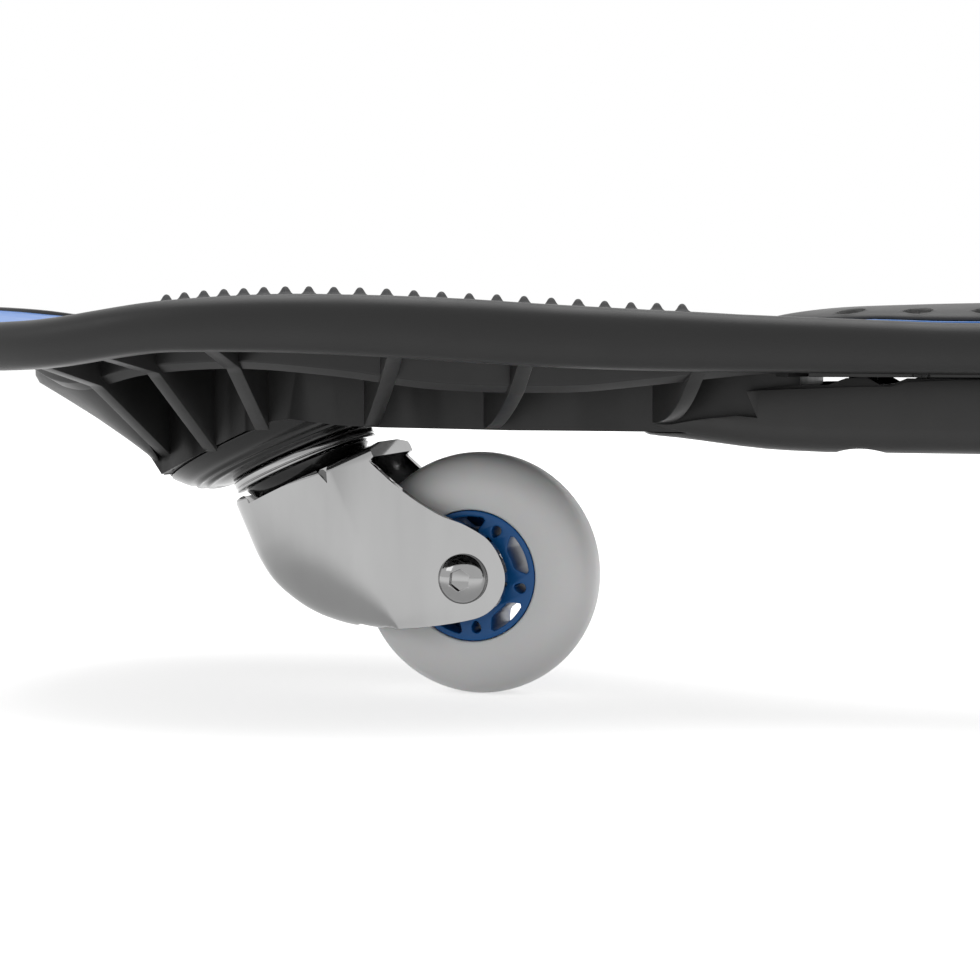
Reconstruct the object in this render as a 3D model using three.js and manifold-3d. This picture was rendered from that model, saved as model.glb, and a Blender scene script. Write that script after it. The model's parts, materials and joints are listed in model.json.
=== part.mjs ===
// A caster board: two foot platforms joined by a torsion bar, each on one inclined caster.
// Units are millimetres. X runs from nose (-) to tail (+), Z is up, and Z = 0 is the ground.
import * as THREE from "three";
import { mergeVertices } from "three/addons/utils/BufferGeometryUtils.js";
import Module from "manifold-3d";

const wasm = await Module();
wasm.setup();

// Board
const BOARD_LENGTH = 864;
const HALF_LENGTH = BOARD_LENGTH / 2;
const PLATFORM_HALF_WIDTH = 114.5;
const PLATFORM_X = 305; // distance from the middle to the widest place
const NECK_HALF_WIDTH = 46;
const NECK_BLEND = 200; // length over which the platform narrows to the neck
const NOSE_ROUNDNESS = 2.15; // exponent of the oval end
const HALF_GAP = 1.5; // each half stops this far from the middle
const FIT = 0.3; // gap between two pieces that touch
const OUTLINE_STATIONS = [60, 105, 122, 136, 150, 164, 178, 192, 208, 225, 245, 265, 285, 305];
const NOSE_STEPS = 11;

// Rim bar: height of its centre and its thickness, by distance from the middle
const RIM_WIDTH = 13;
const RIM_EDGE = 4; // chamfer that stands for the round edge
const RIM_LEVEL = [
  [0, 108], [100, 108.6], [124, 109.2], [160, 110.2], [184, 111.1], [208, 112.3], [232, 113.9],
  [256, 115.1], [280, 115.5], [304, 114.9], [315, 114], [340, 110.6], [352, 109.6], [370, 109.2],
  [390, 110.2], [412, 112.8], [420, 114.4], [432, 116],
];
const RIM_THICKNESS = [
  [0, 14.3], [100, 14.5], [124, 15.3], [160, 16.3], [184, 17.1], [220, 17.5], [244, 17], [268, 16.1],
  [292, 15], [315, 13.9], [352, 13.8], [432, 14.3],
];

// Skin, panel and pad above the ribs
const PANEL_THICKNESS = 2.2;
// How far the panel lies below the rim's top, by distance from the middle
const PANEL_SINK = [
  [0, -0.3], [118, -0.3], [150, 1.6], [250, 1.6], [300, 1.1], [HALF_LENGTH, 1.1],
];
const SKIN_THICKNESS = 3;
const SKIN_MARGIN = 8; // the skin's edge is buried in the rim bar
// Top of the pad over the rim's top: the pad grows thicker towards the end of the board
const PAD_LEVEL = [
  [161, 0.1], [175, 0.1], [190, -0.2], [208, -0.2], [237, -0.4], [260, 0.2], [282, 0.9], [305, 1.7],
  [320, 2.7], [333, 3.4], [359, 3.6],
];
// Half width of the pad by distance from the middle
const PAD_EDGE = [
  [161, 0.5], [162.5, 26], [166, 39], [175, 47.5], [195, 59.5], [216, 70], [237, 78.5], [260, 81.5],
  [282, 79.5], [305, 71.5], [326, 63.5], [341, 54], [351, 43], [357, 27], [359, 0.5],
];
const STUD_BASE = 4;
const STUD_HEIGHT = 2.2;
const STUD_PITCH = 7.69;
const STUD_INSET = 3;
const FIRST_STUD_X = 175;
const LAST_STUD_X = 327;

// Neck cover: half width and top by distance from the middle, and its teardrop recesses
const NECK_COVER_WIDTH = [[HALF_GAP, 28], [95, 27], [125, 22.5], [145, 14], [157, 1]];
const NECK_COVER_TOP = [
  [0, 122.5], [54, 122.4], [101.7, 121.8], [115, 121.5], [129, 121.1], [136, 120.7], [143.2, 120],
  [150.4, 119], [157, 117.7],
];
const NECK_COVER_STATIONS = [HALF_GAP, 50, 95, 112, 125, 134, 141, 147, 152, 157];
const TEARDROP_FIRST = 130.4;
const TEARDROP_COUNT = 7;
const TEARDROP_PITCH = 19.6;
const TEARDROP_INSET = 3.6; // from the cover's edge to the middle of a teardrop
const TEARDROP_HALF_WIDTH = 2.3;
const TEARDROP_FLOOR = 1;

// Ribs under the skin
const RIB_THICKNESS = 4.5;
const LONG_RIB_NOSE = 395; // the long rib crosses the middle line here
const LONG_RIB_INSET = [[140, 9], [165, 13], [200, 23], [255, 31], [305, 40]];
const LONG_RIB_LEVEL = [
  [130, 103.3], [160, 100.7], [185, 97.9], [205, 96.1], [240, 96.9], [270, 100.8], [300, 102.8],
  [330, 100.8], [352, 96.2], [362, 96.9], [370, 99.3], [380, 102], [395, 103],
];
// Each cross rib: where it meets the rim and the spine, and its height above ground at the spine
const FRONT_CROSS_RIBS = [
  [350, 339.5, 74.7], [329, 321.8, 77], [296, 304.2, 83.8], [246, 271, 85], [213, 236, 84.4],
  [168, 185, 86.7],
];
const REAR_CROSS_RIBS = [
  [198, 207.5, 74.7], [220, 225.2, 77], [250, 242.8, 83.8], [284, 270, 88], [318, 302, 91.5],
  [352, 338, 95.5],
];

// Spine and wedge
// Half width of the spine by distance from the middle: it swells round the kingpin
const FRONT_SPINE_WIDTH = [[135, 28], [225, 28], [290, 41.5], [318, 41.5], [341, 33], [350, 29]];
const REAR_SPINE_WIDTH = [[195, 29], [206, 33], [229, 41.5], [257, 41.5], [322, 28], [392, 28]];
const SPINE_END_HALF_WIDTH = 28;
const SPINE_BOTTOM = 84;
const SPINE_TOP = 109;
const SPINE_END = 143.4;
const CORE_WALL = 4;
const ROOF = 108.5;
const FRONT_SPINE = [
  [-346, ROOF], [-346, 75], [-341, 69.2], [-301, 86.5], [-295, 87.3], [-280, 85.4], [-268, 84.8],
  [-230, SPINE_BOTTOM], [-SPINE_END, SPINE_BOTTOM], [-SPINE_END, SPINE_TOP],
];
const FRONT_HOLLOW = [
  [-349, 107], [-349, 80], [-334, 55], [-284, 55], [-284, SPINE_BOTTOM + 3.6],
  [5 - SPINE_END, SPINE_BOTTOM + 3.6], [5 - SPINE_END, 107.4],
];
const REAR_SPINE = [
  [201, ROOF], [201, 75], [206, 69.2], [246, 86.5], [252, 87.7], [267, 86.2], [300, 89], [390, 99.5],
  [390, ROOF],
];
const REAR_HOLLOW = [[197, 107], [197, 80], [213, 55], [380, 55], [380, 107.4]];
const NECK_RIB_BOTTOM = 100.5;
const NECK_RIB_TOP = 112; // inside the skin
const NECK_SILL_Y = 33; // a low lip along each rim bar closes the gap over the housing
const NECK_SILL_END = 140;
const NECK_CROSSINGS = [128, 88.8, 49.6];
const NECK_CROSSING_REACH = 19.6;
// Bow of the wedge: height, how far it reaches ahead of the kingpin, and its half width
const WEDGE_BOW = [[68.5, 37.5, 29], [74.4, 45.5, 33], [87, 65, 48], [98.5, 85, 61], [108, 85, 61]];
const WEDGE_BACK = 36; // the bow starts this far ahead of the kingpin, at the foremost cross ribs
const WEDGE_SWEEP = 0.12; // slant of the foremost cross ribs in plan

// Casters: both are inclined the same way, so both wheels trail towards the tail
const CASTER_TILT = 24;
const RING_CENTRE_Z = 72.5;
const FRONT_KINGPIN_X = -305.7;
const REAR_KINGPIN_X = 241.3;
const SEAT_RADIUS = 41.5;
const SEAT_FLANGE = 4;
const SEAT_BOTTOM = 11.5; // local height of the moulded seat over the ring centre
const SEAT_PLATE_BOTTOM = 4.7;
const RING_RADIUS = 24;
const RING_HALF_HEIGHT = 1.7;
const FORK_TOP = -6.3; // at the fold; the lip of the round front rises towards its nose
const LIP_HEIGHT = 2;
const LIP_SLOPE = 0.095;
const LIP_INNER_RADIUS = 22.5;
const SHEET = 3;
const FORK_HALF_WIDTH = 20.5;
const FORK_FLAT_X = 14; // the leg is flat behind this place and drawn round in front of it
// The fork's height, the reach of its round front, and its half width
const FORK_LEVELS = [
  [FORK_TOP, -25.2, 18.6], [FORK_TOP - LIP_HEIGHT, -27, 20.5], [-23, -26.8, 20.5], [-32, -24.9, 20.5],
  [-41, -20, 20.5], [-47, -15.1, 20.5], [-52, -9.3, 20.5], [-55.5, -4, 20.5], [-59, 3.3, 20.5],
  [-62, 11.5, 20.5], [-70, 12, 20.5],
];
// Side view of a leg from its top at the back, round the axle and forward along its lower edge
const LEG_OUTLINE = [
  [26.4, -10.5], [29.5, -17.3], [32.7, -23.3], [36.5, -29.3], [41.2, -35.3], [46.1, -39.8],
  [50.2, -44.9], [52.1, -48.6], [52.9, -53.4], [52.5, -58.7], [50.4, -63], [46.2, -66.6],
  [41, -68.2], [34.5, -67.5], [23.8, -64.9], [13.7, -61.6],
];
const LEG_NOTCH = [[8.2, -4], [13.8, -4], [11, -11.4]];
const NOSE_CUT = 13.7; // half width of the wheel's opening in the round front
const NOSE_CUT_TOP = -55.5;
const AXLE_X = 39.6;
const AXLE_Z = -55.4;
const KINGPIN_RADIUS = 5;
const SEAT_SCREW_RADIUS = 28.5;

// Wheel
const WHEEL_RADIUS = 38;
const WHEEL_HALF_WIDTH = 12;
const HUB_RADIUS = 20.6;
const BEARING_RADIUS = 11;
const BEARING_WIDTH = 7;
const AXLE_RADIUS = 3.9;
const WINDOWS = 5;

// Torsion gear: each half holds the bar in a bush near the middle and a clamp at the bar's end
const BAR_Z = 92;
const BAR_RADIUS = 5;
const BAR_END_MARGIN = 10; // the bar ends this far behind the middle of a clamp
const HOUSING_BOTTOM = 78.6;
const HOUSING_WALL = 3;
const HOUSING_TOP = 100.2;
const HOUSING_CORNER = 7.5;
const HOUSING_TONGUE_Y = 31.5; // outside this the wall's top is stepped down
// Plan, underside and wall top of each housing, by distance from the middle
const FRONT_HOUSING = {
  width: [
    [HALF_GAP, 33], [150, 33], [166, 32], [180, 30.4], [186, 29.6], [189, 27], [191.5, 20], [193, 11],
  ],
  bottom: [
    [0, HOUSING_BOTTOM], [136, HOUSING_BOTTOM], [146, 78.9], [153.4, 79.3], [160.7, 80],
    [172.5, 81.4], [180, 82.2], [188, 82.8], [193, 82.9],
  ],
  stations: [HALF_GAP, 98, 136, 153.4, 166, 180, 186, 189, 191.5, 193],
  edge: [
    [-10, HOUSING_TOP], [112.6, HOUSING_TOP], [117.5, 98.2], [119.9, 98.2], [123.5, HOUSING_TOP],
    [129.8, HOUSING_TOP], [135, 98.2], [143, 98.1], [150, 97.5], [158.3, 96.4], [155, 88.6],
    [161, 89.2], [172, 88], [181, 86.3], [220, 86.1],
  ],
  step: [
    [-10, 100], [98.5, 99.8], [112.2, 99.2], [117, 97.9], [125.7, 97.8], [142, 97.1], [158.3, 96.4],
    [220, 96.3],
  ],
};
const REAR_HOUSING = {
  width: [[HALF_GAP, 33], [105, 33], [122, 31], [136, 25.5], [145, 17], [150, 8]],
  bottom: [
    [0, HOUSING_BOTTOM], [96, HOUSING_BOTTOM], [110, 79.8], [125, 83.2], [137, 88.2], [145, 93.1],
    [150, 97.1],
  ],
  stations: [HALF_GAP, 96, 110, 122, 130, 137, 145, 150],
  edge: [[-10, HOUSING_TOP], [220, HOUSING_TOP]],
  step: [[-10, 100], [220, 99.8]],
};
const BLOCK_HALF_WIDTH = 21.5;
const BUSH_HALF_LENGTH = 11;
const BUSH_TOP = NECK_RIB_BOTTOM - FIT;
const CLAMP_HALF_LENGTH = 7.5;
const CLAMP_TOP = 97.8; // the clamp stays clear of the openings between housing and frame
const CLAMP_BOSS_RADIUS = 4.5;
const BUSH_X = 40;
const FRONT_CLAMP_X = 128;
const REAR_CLAMP_X = 84;
const HOUSING_SCREW_RADIUS = 2;
const HOUSING_SCREW_TOP = 6.9;
// Shallow groove across the underside of the housing at the clamp
const GROOVE_RADIUS = 21;
const GROOVE_DEPTH = 1.3;
const GROOVE_X = { front: 125.8, rear: 84 };

const COLOURS = {
  black_plastic: [0x232324, 0.5, 0],
  grey_plastic: [0x36383a, 0.55, 0],
  blue_plastic: [0x2f78c4, 0.4, 0],
  grip_rubber: [0x2b2b2c, 0.8, 0],
  chrome: [0xd0d2d4, 0.12, 1],
  steel: [0x8d9094, 0.35, 1],
  urethane: [0xe3e4e2, 0.35, 0],
  hub_plastic: [0x1c58a0, 0.35, 0],
};
const MATERIALS = Object.fromEntries(
  Object.entries(COLOURS).map(([name, [color, roughness, metalness]]) => [
    name,
    new THREE.MeshStandardMaterial({ name, color, roughness, metalness }),
  ]),
);

// Helpers for numbers and solids

// Smooth value at x through a short list of stations.
function along(stations, x) {
  const last = stations.length - 1;
  const clamped = THREE.MathUtils.clamp(x, stations[0][0], stations[last][0]);
  let i = 0;
  while (i < last - 1 && clamped > stations[i + 1][0]) i += 1;
  const slope = (k) => {
    const a = stations[Math.max(k - 1, 0)];
    const b = stations[Math.min(k + 1, last)];
    return (b[1] - a[1]) / (b[0] - a[0]);
  };
  const [x0, y0] = stations[i];
  const [x1, y1] = stations[i + 1];
  const span = x1 - x0;
  const t = (clamped - x0) / span;
  const near = y0 + (y1 - y0) * t * t * (3 - 2 * t);
  return near + span * t * (1 - t) * ((1 - t) * slope(i) - t * slope(i + 1));
}

function steps(from, to, count) {
  return Array.from({ length: count + 1 }, (_, i) => from + ((to - from) * i) / count);
}

function at(x, y, z) {
  return new THREE.Vector3(x, y, z);
}

// Solid from a geometry: shared vertices merged, empty triangles dropped, faces turned outwards.
function solid(geometry) {
  const bare = new THREE.BufferGeometry();
  bare.setAttribute("position", geometry.getAttribute("position"));
  if (geometry.index) bare.setIndex(geometry.index);
  const merged = mergeVertices(bare, 1e-4);
  const points = merged.getAttribute("position");
  const index = merged.index.array;
  const corners = [at(0, 0, 0), at(0, 0, 0), at(0, 0, 0)];
  const triangles = [];
  let volume = 0;
  for (let i = 0; i < index.length; i += 3) {
    const [a, b, c] = [index[i], index[i + 1], index[i + 2]];
    if (a === b || b === c || a === c) continue;
    [a, b, c].forEach((id, k) => corners[k].fromBufferAttribute(points, id));
    volume += corners[0].dot(corners[1].clone().cross(corners[2]));
    triangles.push([a, b, c]);
  }
  const outward = volume < 0 ? triangles.map(([a, b, c]) => [a, c, b]) : triangles;
  return new wasm.Manifold(
    new wasm.Mesh({
      numProp: 3,
      vertProperties: new Float32Array(points.array),
      triVerts: new Uint32Array(outward.flat()),
    }),
  );
}

function geometryOf(shape) {
  const mesh = shape.getMesh();
  const geometry = new THREE.BufferGeometry();
  geometry.setAttribute("position", new THREE.BufferAttribute(mesh.vertProperties, 3));
  geometry.setIndex(new THREE.BufferAttribute(mesh.triVerts, 1));
  geometry.computeVertexNormals();
  return geometry;
}

function join(...shapes) {
  return shapes.reduce((sum, next) => sum.add(next));
}

function cut(shape, ...tools) {
  return tools.reduce((rest, tool) => rest.subtract(tool), shape);
}

function moved(shape, matrix) {
  return solid(geometryOf(shape).applyMatrix4(matrix));
}

// Closed skin over rings with equal numbers of points. The two ends are filled from their middles.
function loft(rings) {
  const count = rings[0].length;
  const points = rings.flat().flatMap((p) => p.toArray());
  const index = [];
  for (let r = 0; r < rings.length - 1; r += 1) {
    for (let i = 0; i < count; i += 1) {
      const a = r * count + i;
      const b = r * count + ((i + 1) % count);
      index.push(a, b, a + count, b, b + count, a + count);
    }
  }
  [rings[0], rings[rings.length - 1]].forEach((ring, end) => {
    const middle = ring.reduce((sum, p) => sum.add(p), at(0, 0, 0)).divideScalar(count);
    const centre = points.length / 3;
    points.push(...middle.toArray());
    const offset = end * (rings.length - 1) * count;
    for (let i = 0; i < count; i += 1) {
      const a = offset + i;
      const b = offset + ((i + 1) % count);
      index.push(centre, end ? a : b, end ? b : a);
    }
  });
  const geometry = new THREE.BufferGeometry();
  geometry.setAttribute("position", new THREE.Float32BufferAttribute(points, 3));
  geometry.setIndex(index);
  return solid(geometry);
}

// Upright prism over an outline of [x, y] points. The outline has no three points in line.
function prism(outline, low, high) {
  const shape = new THREE.Shape(outline.map(([x, y]) => new THREE.Vector2(x, y)));
  const geometry = new THREE.ExtrudeGeometry(shape, { depth: high - low, bevelEnabled: false });
  geometry.translate(0, 0, low);
  return solid(geometry);
}

// Sideways prism over an outline of [x, z] points.
function sidePrism(outline, halfWidth) {
  const upright = new THREE.Matrix4().makeRotationX(Math.PI / 2);
  return moved(prism(outline, -halfWidth, halfWidth), upright);
}

function block(x0, x1, y0, y1, z0, z1) {
  const geometry = new THREE.BoxGeometry(x1 - x0, y1 - y0, z1 - z0);
  geometry.translate((x0 + x1) / 2, (y0 + y1) / 2, (z0 + z1) / 2);
  return solid(geometry);
}

// Body turned about Z from [radius, z] points, which start and end on the axis or close up.
function turned(profile, segments = 28) {
  const points = profile.map(([r, z]) => new THREE.Vector2(r, z));
  if (profile[0][0] > 0) points.push(points[0].clone());
  const geometry = new THREE.LatheGeometry(points, segments);
  geometry.rotateX(Math.PI / 2);
  return solid(geometry);
}

function rod(radius, low, high, segments = 20) {
  return turned([[0, low], [radius, low], [radius, high], [0, high]], segments);
}

function tube(inner, outer, low, high, segments = 24) {
  return turned([[inner, low], [outer, low], [outer, high], [inner, high]], segments);
}

function add(group, name, shape, material) {
  const mesh = new THREE.Mesh(geometryOf(shape), MATERIALS[material]);
  mesh.name = name;
  group.add(mesh);
  return mesh;
}

// Outline of one half, by distance d from the middle of the board

function halfWidth(d) {
  if (d > PLATFORM_X) {
    const u = Math.min((d - PLATFORM_X) / (HALF_LENGTH - PLATFORM_X), 1);
    return PLATFORM_HALF_WIDTH * (1 - u ** NOSE_ROUNDNESS) ** (1 / NOSE_ROUNDNESS);
  }
  const u = THREE.MathUtils.clamp((d - PLATFORM_X + NECK_BLEND) / NECK_BLEND, 0, 1);
  const blend = u * u * (3 - 2 * u);
  return NECK_HALF_WIDTH + (PLATFORM_HALF_WIDTH - NECK_HALF_WIDTH) * blend;
}

// Points [d, y] along one side, from the start to the tip of a nose at the given reach.
function sideOutline(reach, width, start = HALF_GAP) {
  const side = [start, ...OUTLINE_STATIONS].filter((d, i) => !i || d > start + 5);
  const points = side.map((d) => [d, width(d)]);
  const power = 2 / NOSE_ROUNDNESS;
  steps(0, Math.PI / 2, NOSE_STEPS).slice(1).forEach((angle, i) => {
    const d = PLATFORM_X + (reach - PLATFORM_X) * Math.sin(angle) ** power;
    const y = i === NOSE_STEPS - 1 ? 0 : width(PLATFORM_X) * Math.cos(angle) ** power;
    points.push([d, y]);
  });
  return points;
}

const rimLevel = (d) => along(RIM_LEVEL, d);
const rimTop = (d) => rimLevel(d) + along(RIM_THICKNESS, d) / 2;
const rimBottom = (d) => rimLevel(d) - along(RIM_THICKNESS, d) / 2;
const panelTop = (d) => rimTop(d) - along(PANEL_SINK, d);
const skinTop = (d) => panelTop(d) - PANEL_THICKNESS - FIT;
const skinBottom = (d) => skinTop(d) - SKIN_THICKNESS;

// Bar with a given section that runs round an outline. The section's points are [outwards, up].
function barRound(sign, side, section) {
  const path = [...side, ...side.slice(0, -1).reverse().map(([d, y]) => [d, -y])];
  const rings = path.map(([d, y], i) => {
    const [d0, y0] = path[Math.max(i - 1, 0)];
    const [d1, y1] = path[Math.min(i + 1, path.length - 1)];
    const length = Math.hypot(d1 - d0, y1 - y0);
    const atEnd = i === 0 || i === path.length - 1;
    const nd = atEnd ? 0 : -(y1 - y0) / length;
    const ny = atEnd ? Math.sign(y) : (d1 - d0) / length;
    return section(d).map(([out, z]) => at(sign * (d + nd * out), y + ny * out, z));
  });
  return loft(rings);
}

// Middle line of the rim bar along one side
function rimPath() {
  const inset = RIM_WIDTH / 2;
  return sideOutline(HALF_LENGTH - inset, (d) => halfWidth(d) - inset);
}

function rimBar(sign) {
  return barRound(sign, rimPath(), (d) => {
    const low = rimBottom(d);
    const high = rimTop(d);
    const w = RIM_WIDTH / 2;
    const e = RIM_EDGE;
    return [
      [w, low + e], [w, high - e], [w - e, high], [e - w, high],
      [-w, high - e], [-w, low + e], [e - w, low], [w - e, low],
    ];
  });
}

// The long rib follows the outline at a distance and dies into the rim towards the neck.
function longRib(sign) {
  const width = (d) => halfWidth(d) - along(LONG_RIB_INSET, d);
  const side = sideOutline(LONG_RIB_NOSE, width, LONG_RIB_INSET[0][0]);
  const t = RIB_THICKNESS / 2;
  return barRound(sign, side, (d) => {
    const low = along(LONG_RIB_LEVEL, d);
    const high = skinBottom(d) + 1;
    return [[t, low], [t, high], [-t, high], [-t, low]];
  });
}

// Sheet between two heights over an outline of [d, y] stations.
function plate(sign, low, high, stations) {
  const rings = stations.map(([d, y]) => [
    at(sign * d, y, low(d)),
    at(sign * d, y, high(d)),
    at(sign * d, 0, high(d)),
    at(sign * d, -y, high(d)),
    at(sign * d, -y, low(d)),
    at(sign * d, 0, low(d)),
  ]);
  return loft(rings);
}

// Outline at an even distance inside the board's edge
function insetStations(margin) {
  const path = rimPath();
  const inwards = margin - RIM_WIDTH / 2;
  return path.map(([d, y], i) => {
    if (i === 0) return [d, y - inwards];
    const [d0, y0] = path[i - 1];
    const [d1, y1] = path[i + 1] ?? [d0, -y0];
    const length = Math.hypot(d1 - d0, y1 - y0);
    return [d + ((y1 - y0) / length) * inwards, y - ((d1 - d0) / length) * inwards];
  });
}

// Upright wall between two plan points, with its lower edge through [share, height] points.
function wall(from, to, lower, high, thickness = RIB_THICKNESS) {
  const length = Math.hypot(to[0] - from[0], to[1] - from[1]);
  const outline = [
    ...lower.map(([share, z]) => [share * length, z]),
    [length, high],
    [0, high],
  ];
  const shape = sidePrism(outline, thickness / 2);
  const place = new THREE.Matrix4()
    .makeTranslation(from[0], from[1], 0)
    .multiply(new THREE.Matrix4().makeRotationZ(Math.atan2(to[1] - from[1], to[0] - from[0])));
  return moved(shape, place);
}

function crossRibs(sign, list, spineWidth) {
  return list.flatMap(([rimD, spineD, spineZ]) =>
    [-1, 1].map((side) => {
      const rimY = halfWidth(rimD) - RIM_WIDTH + 3;
      const spineY = along(spineWidth, spineD) - 1;
      const middleD = rimD + (spineD - rimD) * 0.4;
      const ribY = halfWidth(middleD) - along(LONG_RIB_INSET, middleD);
      const share = THREE.MathUtils.clamp((rimY - ribY) / (rimY - spineY), 0.15, 0.7);
      const lower = [
        [0, rimBottom(rimD) + 1],
        [share, along(LONG_RIB_LEVEL, middleD)],
        [1, spineZ],
      ];
      const from = [sign * rimD, side * rimY];
      const to = [sign * spineD, side * spineY];
      return wall(from, to, lower, skinBottom(rimD) + 0.5);
    }),
  );
}

// Caster frame: origin in the middle of the ring, Z up along the kingpin, X towards the tail
function casterPlace(kingpinX) {
  return new THREE.Matrix4()
    .makeTranslation(kingpinX, 0, RING_CENTRE_Z)
    .multiply(new THREE.Matrix4().makeRotationY(THREE.MathUtils.degToRad(-CASTER_TILT)));
}

function seatScrewPlaces() {
  return [45, 135, 225, 315].map((angle) => {
    const a = THREE.MathUtils.degToRad(angle);
    return [SEAT_SCREW_RADIUS * Math.cos(a), SEAT_SCREW_RADIUS * Math.sin(a)];
  });
}

function shifted(shape, x, y, z) {
  return moved(shape, new THREE.Matrix4().makeTranslation(x, y, z));
}

// Bow of the wedge, a stack of half ovals that spread and lean forward with height
function wedgeBow(kingpinX, shrink) {
  const rings = WEDGE_BOW.map(([z, reach, half]) => {
    const back = kingpinX - WEDGE_BACK + (shrink ? 8 : 0);
    const depth = Math.max(reach - WEDGE_BACK - shrink, 1.5) + (shrink ? 8 : 0);
    return steps(-Math.PI / 2, Math.PI / 2, 10).map((angle) => {
      const y = (half - shrink) * Math.sin(angle);
      const sweep = WEDGE_SWEEP * Math.max(Math.abs(y) - SPINE_END_HALF_WIDTH, 0);
      return at(back - depth * Math.cos(angle) - sweep, y, z);
    });
  });
  return loft(rings);
}

// Beam with a given side view, as wide as the stations say
function beam(sign, outline, width, margin) {
  const from = width[0][0];
  const to = width[width.length - 1][0];
  const side = steps(from, to, 12).map((d) => [sign * d, along(width, d) - margin]);
  const plan = [...side, ...side.map(([x, y]) => [x, -y]).reverse()];
  return sidePrism(outline, 60).intersect(prism(plan, 0, 200));
}

// Spine and wedge as one hollow beam, cut square to the kingpin where the caster seats
function core(sign, plan) {
  const { kingpinX, spine, hollow, spineWidth } = plan;
  const place = casterPlace(kingpinX);
  const inCaster = (shape) => moved(shape, place);
  const seat = inCaster(rod(SEAT_RADIUS, SEAT_BOTTOM, SEAT_BOTTOM + SEAT_FLANGE, 36));
  const front = block(-90, 0, -90, 90, -60, SEAT_BOTTOM);
  const discRoom = rod(SEAT_RADIUS + 1, -60, SEAT_BOTTOM, 36);
  const below = inCaster(join(front, discRoom));
  const outer = cut(join(wedgeBow(kingpinX, 0), beam(sign, spine, spineWidth, 0), seat), below);
  const roof = block(-500, 500, -90, 90, ROOF - 0.5, 200);
  const floor = inCaster(block(-120, 60, -90, 90, -60, SEAT_BOTTOM + 5.5));
  const inside = cut(
    join(wedgeBow(kingpinX, CORE_WALL), beam(sign, hollow, spineWidth, CORE_WALL)),
    floor,
  );
  const bores = [
    discRoom,
    rod(KINGPIN_RADIUS + FIT, 0, 30),
    ...seatScrewPlaces().map(([x, y]) => shifted(rod(2.9, 0, 22, 6), x, y, 0)),
  ].map(inCaster);
  return { shape: cut(outer, roof), hollow: inside, bores };
}

// Crossing ribs that stiffen the neck between the rim bars
function neckRibs(sign) {
  const inner = NECK_HALF_WIDTH - RIM_WIDTH + 2;
  return NECK_CROSSINGS.flatMap((middle) =>
    [-1, 1].map((side) => {
      const from = [sign * (middle - NECK_CROSSING_REACH), -side * inner];
      const to = [sign * (middle + NECK_CROSSING_REACH), side * inner];
      return wall(from, to, [[0, NECK_RIB_BOTTOM], [1, NECK_RIB_BOTTOM]], NECK_RIB_TOP);
    }),
  );
}

// Low lips along the neck's rim bars, over the edges of the housing
function neckSills(sign) {
  return [-1, 1].map((side) => {
    const from = [sign * HALF_GAP, side * NECK_SILL_Y];
    const to = [sign * NECK_SILL_END, side * NECK_SILL_Y];
    return wall(from, to, [[0, NECK_RIB_BOTTOM], [1, NECK_RIB_BOTTOM]], NECK_RIB_BOTTOM + 6, 4);
  });
}

function frame(sign, plan) {
  const skin = plate(sign, skinBottom, skinTop, insetStations(SKIN_MARGIN));
  const middle = core(sign, plan);
  const ribs = crossRibs(sign, plan.ribs, plan.spineWidth);
  const shape = join(
    rimBar(sign), skin, longRib(sign), middle.shape, ...ribs, ...neckRibs(sign),
    ...neckSills(sign),
  );
  return cut(shape, middle.hollow, ...middle.bores);
}

// Pad with one row of studs, along its long edge on the -Y side
function gripPad(sign) {
  const low = (d) => panelTop(d) + FIT;
  const high = (d) => rimTop(d) + along(PAD_LEVEL, d);
  const studs = [];
  const edge = steps(FIRST_STUD_X, LAST_STUD_X, 300).map((d) => [d, STUD_INSET - along(PAD_EDGE, d)]);
  let travelled = STUD_PITCH;
  edge.forEach(([d, y], i) => {
    const [lastD, lastY] = edge[Math.max(i - 1, 0)];
    travelled += Math.hypot(d - lastD, y - lastY);
    if (travelled < STUD_PITCH) return;
    travelled -= STUD_PITCH;
    const stud = new THREE.ConeGeometry(STUD_BASE / Math.SQRT2, STUD_HEIGHT + 0.2, 4);
    stud.rotateX(Math.PI / 2).rotateZ(Math.PI / 4);
    stud.translate(sign * d, y, high(d) + STUD_HEIGHT / 2 - 0.1);
    studs.push(solid(stud));
  });
  return join(plate(sign, low, high, PAD_EDGE), ...studs);
}

function neckCover(sign) {
  const rings = NECK_COVER_STATIONS.map((d) => {
    const half = along(NECK_COVER_WIDTH, d);
    const low = panelTop(d) + FIT;
    const high = Math.max(along(NECK_COVER_TOP, d), low + 0.4);
    const dome = steps(0, Math.PI, 6).map((a) =>
      at(sign * d, half * Math.cos(a), low + 0.2 + (high - low - 0.2) * Math.sin(a)),
    );
    return [at(sign * d, half, low), ...dome, at(sign * d, -half, low)];
  });
  const drops = steps(0, TEARDROP_COUNT - 1, TEARDROP_COUNT - 1).flatMap((i) =>
    [-1, 1].map((side) => {
      const d = TEARDROP_FIRST - TEARDROP_PITCH * i;
      const y = side * (along(NECK_COVER_WIDTH, d) - TEARDROP_INSET);
      const wide = TEARDROP_HALF_WIDTH;
      const outline = [[d + 4, y], [d - 3, y + wide], [d - 4, y], [d - 3, y - wide]];
      const floor = panelTop(d) + FIT + TEARDROP_FLOOR;
      return prism(outline.map(([p, q]) => [sign * p, q]), floor, floor + 8);
    }),
  );
  return cut(loft(rings), ...drops);
}

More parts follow.
